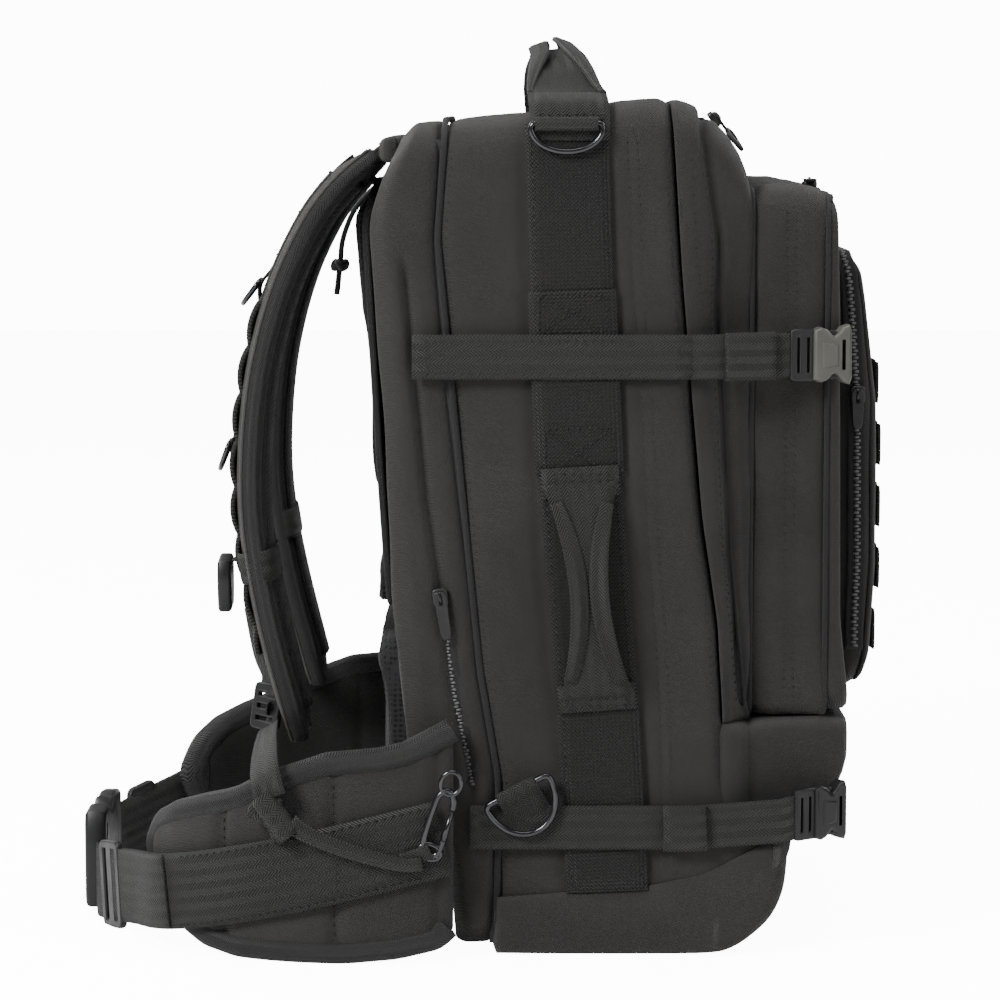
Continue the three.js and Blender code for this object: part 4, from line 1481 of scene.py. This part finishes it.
def hip_buckle():
    """Wide side-release buckle across the front of the belt, edge-on to the pack's side."""
    shell = mirrored_outline([(-58, 23), (-56, 27.5), (-34, 28), (-22, 22), (-8, 22), (-2, 26), (0, 24)])
    socket = [(shell, [slot(-53, -48, 22)], 13.5, 3.2)]
    part = plates(socket, BELT_BUCKLE_AT, (0, 1, 0), (0, 0, 1))
    make("belt_buckle_socket", part, PLASTIC, "hip_wing_left", ("hip_buckle_female",), smooth=False)
    plate = mirrored_outline([(1, 25), (3, 27), (18, 27.5), (38, 25), (43, 23)])
    prong = [(2, 4), (-14, 5), (-21, 2), (-22, -2), (-14, -3), (2, -4)]
    plug = [(plate, [slot(24, 28, 21), slot(34, 38, 21)], 11, 2.2)]
    plug += [([(x, y + middle) for x, y in prong], [], 6, 1.5) for middle in (15, -1, -16)]
    part = plates(plug, BELT_BUCKLE_AT, (0, 1, 0), (0, 0, 1))
    make("belt_buckle_plug", part, PLASTIC, "hip_wing_right", ("hip_buckle_male",), smooth=False)


# ---------------------------------------------------------------- adjuster straps and snap hooks
ADJUSTER_LINE = [(-211, -112, 145), (-212, -114, 131), (-212, -140, 129), (-211, -175, 126),
                 (-209, -202, 115), (-203, -210, 98), (-190, -211.5, 85), (-165, -211, 73),
                 (-130, -210, 63), (-116, -209, 63)]


def adjusters():
    """The strap from the shoulder strap's end to the hip, its rolled-up tail and its tri-glide."""
    path = curve_through(ADJUSTER_LINE, 60)
    normals = unit(path - np.array([-150, -120, 60]))
    strap = Part()
    strap.add(*ribbon(path[:33], normals[:33], np.interp(np.arange(33), [0, 8, 32], [20, 18, 21]), 1.7))
    strap.add(*ribbon(path[37:], normals[37:], np.interp(np.arange(23), [0, 4, 22], [12, 9.5, 8]), 1.7))
    pair("adjuster_webbing", strap, WEBBING, "hip_wing", ("adjuster_web",))
    roll = Part()
    axis = np.array((0.58, -0.12, -0.80))
    first, second = np.array((0.76, -0.25, 0.6)), np.array((0.29, 0.95, 0.07))
    middle = np.array((-203, -207, 91))
    turns = np.linspace(0, 5.0 * math.pi, 70)
    size = np.linspace(2.4, 8.0, 70)
    spiral = middle + np.outer(size * np.cos(turns), first) + np.outer(size * np.sin(turns), second)
    roll.add(*ribbon(spiral, (spiral - middle) / size[:, None], 30, 1.6))
    end = spiral[-1]
    flap = curve_through([end, end + first * 4 - axis * 2, end + first * 9 + axis * 3], 12)
    roll.add(*ribbon(flap, second, 26, 1.6))
    pair("adjuster_tail", roll, WEBBING, "hip_wing")
    outline = rounded_box(26, 27, 3)
    holes = [[(x, y + dy) for x, y in rounded_box(20, 4.5, 1)] for dy in (7.5, 0, -7.5)]
    lock = plates([(outline, holes, 3.8, 0.8)], (-213, -113, 141), (0.62, -0.78, 0), (0.15, 0.1, 1))
    pair("adjuster_lock", lock, PLASTIC, "shoulder_strap", smooth=False)


def snap_hooks():
    """The small hook on each side of the belt: its body, gate, eye and upper loop, and a tab."""
    part = Part()
    lean = 0.3
    up = np.array((math.sin(lean), 0, math.cos(lean)))
    side = np.array((math.cos(lean), 0, -math.sin(lean)))
    centre = np.array((-106, -207, 88))
    body = [(-4.5, -19), (-5.8, -8), (-5.5, 8), (-4.5, 15), (0, 19.5), (4.5, 15), (5.5, 9)]
    path = [centre + side * a + up * b for a, b in body]
    part.add(*tube(curve_through(path, 40), 2.0, 8))
    base = [centre + side * a + up * b for a, b in ((-4.5, -19), (0, -21.5), (4.5, -19), (5.6, -10))]
    part.add(*tube(curve_through(base, 20), 2.0, 8))
    part.add(*tube([centre + side * 5.6 + up * b for b in (-10, -3, 9)], [2.2, 1.6, 1.4], 8))
    turn = np.linspace(0, 2 * math.pi, 24)[:-1]
    eye = [centre - up * 19 + side * 6.5 * math.cos(a) + up * 4.5 * math.sin(a) for a in turn]
    part.add(*tube(np.array(eye), 1.7, 8, closed=True))
    loop = [centre + up * (24 + 7 * math.sin(a)) + side * 6 * math.cos(a) + (0, -1, 0)
            for a in np.linspace(0, 2 * math.pi, 28)[:-1]]
    part.add(*tube(np.array(loop), 1.5, 8, closed=True))
    pair("snap_hook_body", part, RING, "hip_wing", ("snap_hook",))
    tag = Part()
    path = [centre - up * 21 + (-16, 1, -4), centre - up * 20 + (-8, 0, -2), centre - up * 18 + (0, -2.6, 0)]
    tag.add(*ribbon(curve_through(path, 10), (0, -1, 0), 9, 1.7))
    pair("snap_hook_tab", tag, WEBBING, "hip_wing")


hip_wings()
hip_webbing()
hip_buckle()
adjusters()
snap_hooks()


# ---------------------------------------------------------------- carry handle and side handles
HANDLE_LINE = [(-141, 514.5), (-128, 519), (-100, 530), (-60, 539), (0, 543)]


def grip_strap():
    """A doubled strap over the top whose middle is folded and twisted into a grip."""
    arch = curve_through(HANDLE_LINE + [(-y, z) for y, z in reversed(HANDLE_LINE[:-1])], 90)
    y, z = arch[:, 0], arch[:, 1]
    t = np.abs(y) / 141
    width = np.interp(t, [0, 0.45, 0.75, 1], [24, 28, 40, 47])
    twist = 0.35 * np.sin(y / 38) * np.clip((1 - t) / 0.35, 0, 1)
    lean = -30 - 8 * (1 - t) ** 0.6 + 1.2 * np.sin(y / 23) * (1 - t)
    path = np.column_stack([lean, y, z])
    normals = np.column_stack([np.sin(twist), np.zeros(len(y)), np.cos(twist)])
    part = Part().add(*ribbon(path, normals, width, 2.2))
    for fold in (-1, 1):
        shift = np.interp(t, [0, 0.5, 0.8, 1], [7.2, 9.5, 17, 22])
        drop = np.interp(t, [0, 0.5, 0.85, 1], [8.0 + 2.4 * fold, 6.5 + 2.0 * fold, 3.4, 1.5])
        edge_path = path + np.column_stack([fold * shift, 0 * y, drop * 0.55])
        tilt = np.interp(t, [0, 0.6, 1], [0.35, 0.3, 0.0])
        fold_normals = np.column_stack([fold * np.sin(tilt), 0 * y, np.cos(tilt)])
        part.add(*ribbon(edge_path, fold_normals, np.interp(t, [0, 0.55, 0.9, 1], [13, 12, 5, 3]), 4.0))
    for side in (-1, 1):
        line = [(-30, side * 148, 508.8), (-30, side * 134, 514.2), (-30, side * 112, 515.2)]
        part.add(*ribbon(curve_through(line, 12), (0, side * 0.3, 1), 47, 2.4))
    return part


def carry_handle():
    """The grip, in two halves, and the webbing it's sewn to."""
    for side, half in halves(grip_strap(), 1, 0):
        nodes = ("carry_handle",) if side == LEFT else ()
        piece = make(f"carry_handle_{SIDE_NAMES[side]}", half, WEBBING, None, nodes)
        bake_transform(piece)
    skirt, thread = Part(), Part()
    for side in (-1, 1):
        face = curve_through([(-29, side * 180.5, 488), (-29, side * 179.5, 500), (-29.5, side * 172, 509.5),
                              (-30, side * 158, 513.6), (-30, side * 143, 515.2)], 22)
        out = np.cross(directions(face), (1, 0, 0)) * -side
        skirt.add(*ribbon(face, out, 47, 2.2))
        for z_row in (500.5, 503.5):
            row = np.array([(x, side * 181.4, z_row) for x in np.linspace(-51, -8, 9)])
            stitches(thread, row, (0, side, 0))
    make("carry_handle_base", skirt, WEBBING, "pack")
    make("carry_handle_stitching", thread, THREAD, "pack")


def halves(part, axis, middle):
    """The faces of a part on each side of a plane, as two parts."""
    points = part.array()
    for side in (LEFT, RIGHT):
        half = Part()
        half.points = [points]
        for i, face in enumerate(part.faces):
            if (points[list(face), axis].mean() > middle) == (side == RIGHT):
                half.uvs[len(half.faces)] = part.uvs[i]
                half.faces.append(face)
        yield side, without_strays(half)


def without_strays(part):
    """The part without the points that none of its faces uses."""
    points = part.array()
    used = sorted({i for face in part.faces for i in face})
    place = {old: new for new, old in enumerate(used)}
    part.points = [points[used]]
    part.faces = [tuple(place[i] for i in face) for face in part.faces]
    return part


def side_handles():
    """A wide strap with its edges folded in towards each other along the grip."""
    count = 60
    t = np.linspace(0, 1, count)
    z = 158 + (286 - 158) * t
    centre = np.array([float(web_centre(v)) for v in z])
    stand = HALF + 4.2 + 11.5 * np.sin(math.pi * t) ** 0.7
    narrow = np.sin(math.pi * t) ** 0.8
    part = Part()
    path = np.column_stack([centre, -stand, z])
    out = np.array([0, -1.0, 0])
    part.add(*ribbon(path, out, 46 - 24 * narrow, 2.0))
    for fold in (-1, 1):
        shift = fold * (20 - 14 * narrow)
        curl = path + np.column_stack([shift, -3.4 * narrow - 0.6, 0 * t])
        tilt = 0.45 * narrow * fold
        normals = np.column_stack([-np.sin(tilt), -np.cos(tilt), 0 * t])
        part.add(*ribbon(curl[5:-5], normals[5:-5], (5 + 7 * narrow)[5:-5], 1.9))
    grip_middle = 222
    for end, half in halves(part, 2, grip_middle):
        name, z_end = ("lower", 160) if end == LEFT else ("upper", 284)
        nodes = ("side_handle",) if end == LEFT else ()
        z_free = z_end + (30 if end == LEFT else -30)
        pieces = pair(f"side_handle_{name}", half, WEBBING, None, nodes)
        for piece, side in zip(pieces, (LEFT, RIGHT)):
            ends = [(web_centre(z) * MM, side * 0.186, z * MM) for z in (z_end, z_free)]
            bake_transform(piece)
    thread = Part()
    for z0 in (153, 157, 288, 292):
        x = float(web_centre(z0))
        y = -HALF - 5.0
        stitches(thread, np.array([(x + dx, y, z0) for dx in (-19, 0, 19)]), (0, -1, 0))
    pair("side_handle_stitching", thread, THREAD, "pack")
    tabs = Part()
    for z0, z1 in ((150, 166), (278, 296)):
        x0, x1 = float(web_centre(z0)), float(web_centre(z1))
        middle = ((x0 + x1) / 2, -HALF - 3.9, (z0 + z1) / 2)
        tabs.add(*ribbon([(x0, -HALF - 3.6, z0), middle, (x1, -HALF - 3.6, z1)], out, 46, 2.0))
    pair("side_handle_base", tabs, WEBBING, "pack")


carry_handle()
side_handles()


# ---------------------------------------------------------------- zips
TOOTH_PITCH = 2.1
TOOTH_WIDTH = 3.4
TOOTH_FACES = [(3, 2, 1, 0), (4, 5, 6, 7), (0, 1, 5, 4), (1, 2, 6, 5), (2, 3, 7, 6), (3, 0, 4, 7)]


def zip_teeth(part, path, normals):
    """Teeth of a closed zip, one after another along a path."""
    reach = lengths_along(path)
    along = directions(path)
    for k, at in enumerate(np.arange(TOOTH_PITCH, reach[-1] - TOOTH_PITCH, TOOTH_PITCH)):
        direction = at_length(at, reach, along)
        up = at_length(at, reach, normals)
        across = np.cross(up, direction)
        place = at_length(at, reach, path) + across * (0.5 if k % 2 else -0.5)
        corners = []
        for lift, narrow in ((-0.3, 1), (0.75, 0.9)):
            for a, c in ((-1, -1), (1, -1), (1, 1), (-1, 1)):
                sideways = across * c * TOOTH_WIDTH / 2 * narrow
                corners.append(place + direction * a * 0.72 + sideways + up * lift)
        part.add(corners, TOOTH_FACES)


def zip_run(name, path, normals, body, tape, put=pair):
    """A zip's tape and teeth along a path, on both sides of the pack unless put is make."""
    teeth = Part()
    zip_teeth(teeth, path + normals * 0.5, normals)
    put(f"{name}_tape", Part().add(*ribbon(path, normals, tape, 0.9)), PIPING, body)
    put(f"{name}_teeth", teeth, TEETH, body)


def organiser_zip():
    """Runs up one side of the organiser pocket, over its top and down the other."""
    edge = between(pocket_face, shifted(admin_face, -4.5), 0.64)
    ring = ring_path((edge, ADMIN_HALF + 2.6, ADMIN_LOW - 1, ADMIN_TOP + 2.6, 16), 0)
    low = ring[:, 2] > ADMIN_LOW + 22
    start = int(np.argmin(low))
    ring = np.roll(ring, -start, axis=0)
    run = ring[ring[:, 2] > ADMIN_LOW + 22]
    centre = np.array([0, 0, (ADMIN_LOW + ADMIN_TOP) / 2])
    normals = run - centre
    normals[:, 0] = 0
    side = np.abs(run[:, 1]) > ADMIN_HALF - 13
    top = run[:, 2] > ADMIN_TOP - 13
    normals[:, 1] = np.sign(run[:, 1]) * np.clip((np.abs(run[:, 1]) - (ADMIN_HALF - 13)) / 13, 0, 1) * side
    normals[:, 2] = np.clip((run[:, 2] - (ADMIN_TOP - 13)) / 13, 0, 1) * top
    zip_run("organiser_zip", run, unit(normals), "pocket_door", 11, put=make)


def slider(name, body, origin, along, up, length):
    """A zip slider with its bridge, and its pull lying the way along points."""
    origin, along, up = np.array(origin), np.array(along, float), np.array(up, float)
    across = np.cross(up, along)
    points, faces = extruded([rounded_box(9, 7.5, 1.5)], 3.4, 0.8)
    part = Part().add(placed(points, origin, along, across), faces)
    bridge = [origin + along * a + up * b for a, b in ((-3.5, 1), (-2.5, 3.2), (1.5, 3.6), (3.5, 1.4))]
    part.add(*tube(curve_through(bridge, 12), 0.9, 8))
    make(f"{name}_slider", part, ZIP_METAL, body, (f"{body}_slider",), smooth=False)
    tab = mirrored_outline([(-3, 2.4), (0, 3.4), (length - 3, 2.7), (length, 1.6)])
    hole = [(1, 1.6), (5, 1.4), (5, -1.4), (1, -1.6)]
    pull = plates([(tab, [hole], 1.6, 0.4)], origin + up * 2.6, along, across)
    make(f"{name}_pull", pull, ZIP_METAL, body, smooth=False)


REAR_LEAN = math.atan2(19, 122)
REAR_DOWN = (math.sin(REAR_LEAN), 0, -math.cos(REAR_LEAN))
MAIN_SLIDER_AT, MAIN_DOWN, MAIN_OUT = (62, -63, 500), (0.6, 0, -0.8), (0.8, 0, 0.6)
SLIDERS = [  # name, body, place, the way the pull lies, up, length of the pull
    ("rear", "back_zip", (-105.5, -179.2, 218), REAR_DOWN, (0, -1, 0), 25),
    ("pocket", "pocket_zip", (120, -81, 460.6), (0, -1, 0), (0, 0, 1), 20),
    ("organiser", "admin_zip", (147, -ADMIN_HALF - 4.5, 334), (0, 0, -1), (0, -1, 0), 20),
    ("main", "main_zip", MAIN_SLIDER_AT, MAIN_DOWN, MAIN_OUT, 14),
]


def zip_sliders():
    """The rear zip, the four sliders and the cord loop tied to the main zip's pull."""
    places, normals = body_surface.side([(float(rear_zip(z)), z) for z in np.arange(102, 223, 5)], 0.6)
    zip_run("rear_zip", places, normals, "pack", 13)
    for row in SLIDERS:
        slider(*row)
    origin, down, out = np.array(MAIN_SLIDER_AT), np.array(MAIN_DOWN), np.array(MAIN_OUT)
    loop = [origin + down * a + out * b + (0, c, 0) for a, b, c in
            ((10, 3, 0), (14, 4, 2.6), (22, 3.4, 2.8), (25, 3, 0), (22, 2.6, -2.8), (14, 2, -2.6))]
    grip = Part().add(*tube(curve_through(loop, 40, closed=True), 1.5, 8, closed=True))
    make("main_pull_loop", grip, CORD, "main_zip")


# ---------------------------------------------------------------- rows of sewn loops on the organiser pocket
LOOP_ROWS = range(188, 360, 38)
LOOP_PITCH = 38


def organiser_loops():
    rows, thread = Part(), Part()
    for z in LOOP_ROWS:
        y = np.linspace(-ADMIN_HALF + 12, ADMIN_HALF - 12, 97)
        places, _ = admin_surface.front([(v, z) for v in y], 0.8)
        x = places[:, 0].copy()
        bulge = 2.1 * np.abs(np.cos(math.pi * y / LOOP_PITCH)) ** 0.6
        places[:, 0] = x + bulge
        rows.add(*ribbon(places, (1, 0, 0), 25, 1.7))
        for seam in np.arange(-2.5, 3, 1) * LOOP_PITCH:
            face = float(np.interp(seam, y, x)) + 1.3
            stitches(thread, np.array([(face, seam, z + dz) for dz in (-11, 0, 11)]), (1, 0, 0))
    make("organiser_loops", rows, WEBBING, "admin_door")
    make("organiser_loop_stitching", thread, THREAD, "admin_door")


admin_surface = Surface(admin_skin)
organiser_zip()
zip_sliders()
organiser_loops()


# ---------------------------------------------------------------- the back: yoke, back pads and lumbar pad
PUFF_PRESSURE = 4.0
PUFF_FRAMES = 14
MOST_PUFF = 6


def inflate(obj):
    """Puffs a closed skin up as cloth under pressure, then keeps the shape it reached."""
    cloth = obj.modifiers.new("cloth", "CLOTH")
    settings = cloth.settings
    settings.use_pressure = True
    settings.uniform_pressure_force = PUFF_PRESSURE
    settings.effector_weights.gravity = 0
    settings.quality = 6
    settings.mass = 0.25
    settings.tension_stiffness = settings.compression_stiffness = 30
    settings.shear_stiffness = 8
    settings.bending_stiffness = 0.8
    scene = bpy.context.scene
    first = scene.frame_current
    cloth.point_cache.frame_start, cloth.point_cache.frame_end = 1, PUFF_FRAMES
    before = np.array([v.co[:] for v in obj.data.vertices])
    for at in range(1, PUFF_FRAMES + 1):
        scene.frame_set(at)
    graph = bpy.context.evaluated_depsgraph_get()
    mesh = bpy.data.meshes.new_from_object(obj.evaluated_get(graph))
    obj.modifiers.clear()
    scene.frame_set(first)
    after = np.array([v.co[:] for v in mesh.vertices])
    move = after - before
    reach = np.linalg.norm(move, axis=1, keepdims=True)
    limited = before + move * np.minimum(1, MOST_PUFF * MM / np.maximum(reach, 1e-9))
    for vertex, place in zip(obj.data.vertices, limited):
        vertex.co = place


def cushion(back_x, front_of, half, low, high, depth, middle_y=0.0, radius=16):
    """A closed pad against the back panel, depth thick at its middle."""
    stations = []
    for inset, t in ((3, 0), (0.6, 0.2), (0, 0.5), (0.8, 0.8), (4, 0.97), (10, 1.08), (20, 1.14), (34, 1.16)):
        limit = min(half, (high - low) / 2)
        inset = min(inset, limit - 6)
        corner = max(radius - inset * 0.3, 4)
        stations.append((shifted(front_of, -depth * t), half - inset, low + inset, high - inset, corner))
    stations.insert(0, (shifted(front_of, back_x), half - 14, low + 14, high - 14, radius))
    skin = loft(stations, close_first=True, close_last=True)
    skin = Part().add(skin.array() + (0, middle_y, 0), skin.faces)
    return relief(skin, [], 0, 0.5, 31)


def lumbar_pad():
    """The padded cushion low on the back and the tape round it."""
    low, high = box_mm("lumbar_pad")
    face = straight(high[0] + 2)
    pad = cushion(4, face, high[1] - 3, low[2] + 1, high[2] - 1, high[0] - low[0] - 5)
    lumbar = make("lumbar_cushion", pad, MESH, "pack", ("lumbar_pad",))
    inflate(lumbar)
    ring = ring_path((straight(high[0] - 9), high[1] - 2.5, low[2] + 0.5, high[2] - 0.5, 17), 0)
    make("lumbar_binding", Part().add(*tube(ring, 3.2, 8, closed=True)), BINDING, "pack")


def back_pads():
    """The two upright cushions against the back and the tape round each."""
    for side in (LEFT, RIGHT):
        pad = cushion(4, back_edge, 44, 205, 462, 9, side * 76, 22)
        piece = make(f"back_pad_{SIDE_NAMES[side]}", pad, MESH, "pack")
        inflate(piece)
        ring = ring_path((shifted(back_edge, -4.5), 44.5, 204.5, 462.5, 22), 0) + (0, side * 76, 0)
        rim = Part().add(*tube(ring, 2.4, 8, closed=True))
        make(f"back_pad_binding_{SIDE_NAMES[side]}", rim, BINDING, "pack")


def strap_yoke():
    """The padded yoke that joins the shoulder straps at the top of the back."""
    low, high = box_mm("strap_yoke")
    centre = (low + high) / 2
    path = curve_through([(centre[0] + 4, low[1] + 2, centre[2] + 1), (centre[0], low[1] + 18, centre[2] + 1),
                          (centre[0] - 1, 0, centre[2] + 1), (centre[0], high[1] - 18, centre[2] + 1),
                          (centre[0] + 4, high[1] - 2, centre[2] + 1)], 60)
    yoke = Part().add(*swept(path, (0, 0, 1), pillow_section(24, 0.6), 15, rounded_ends(60, 12, 0.4)))
    make("strap_yoke_pad", yoke, NYLON, "pack", ("strap_yoke",))
    thread = Part()
    for dz in (-3.5, 3.5):
        row = path[4:-4] + (-6.0, 0, dz)
        stitches(thread, row, (-1, 0, 0))
    make("strap_yoke_stitching", thread, THREAD, "pack")


def inner_parts():
    """Materials of the sheet, stay and divider inside."""
    for node, material in (("rear_divider", LINING), ("frame_sheet", SHEET), ("stay", ALUMINIUM)):
        solid = bpy.data.objects[node]
        solid.data.materials.clear()
        solid.data.materials.append(material)


lumbar_pad()
back_pads()
strap_yoke()
inner_parts()
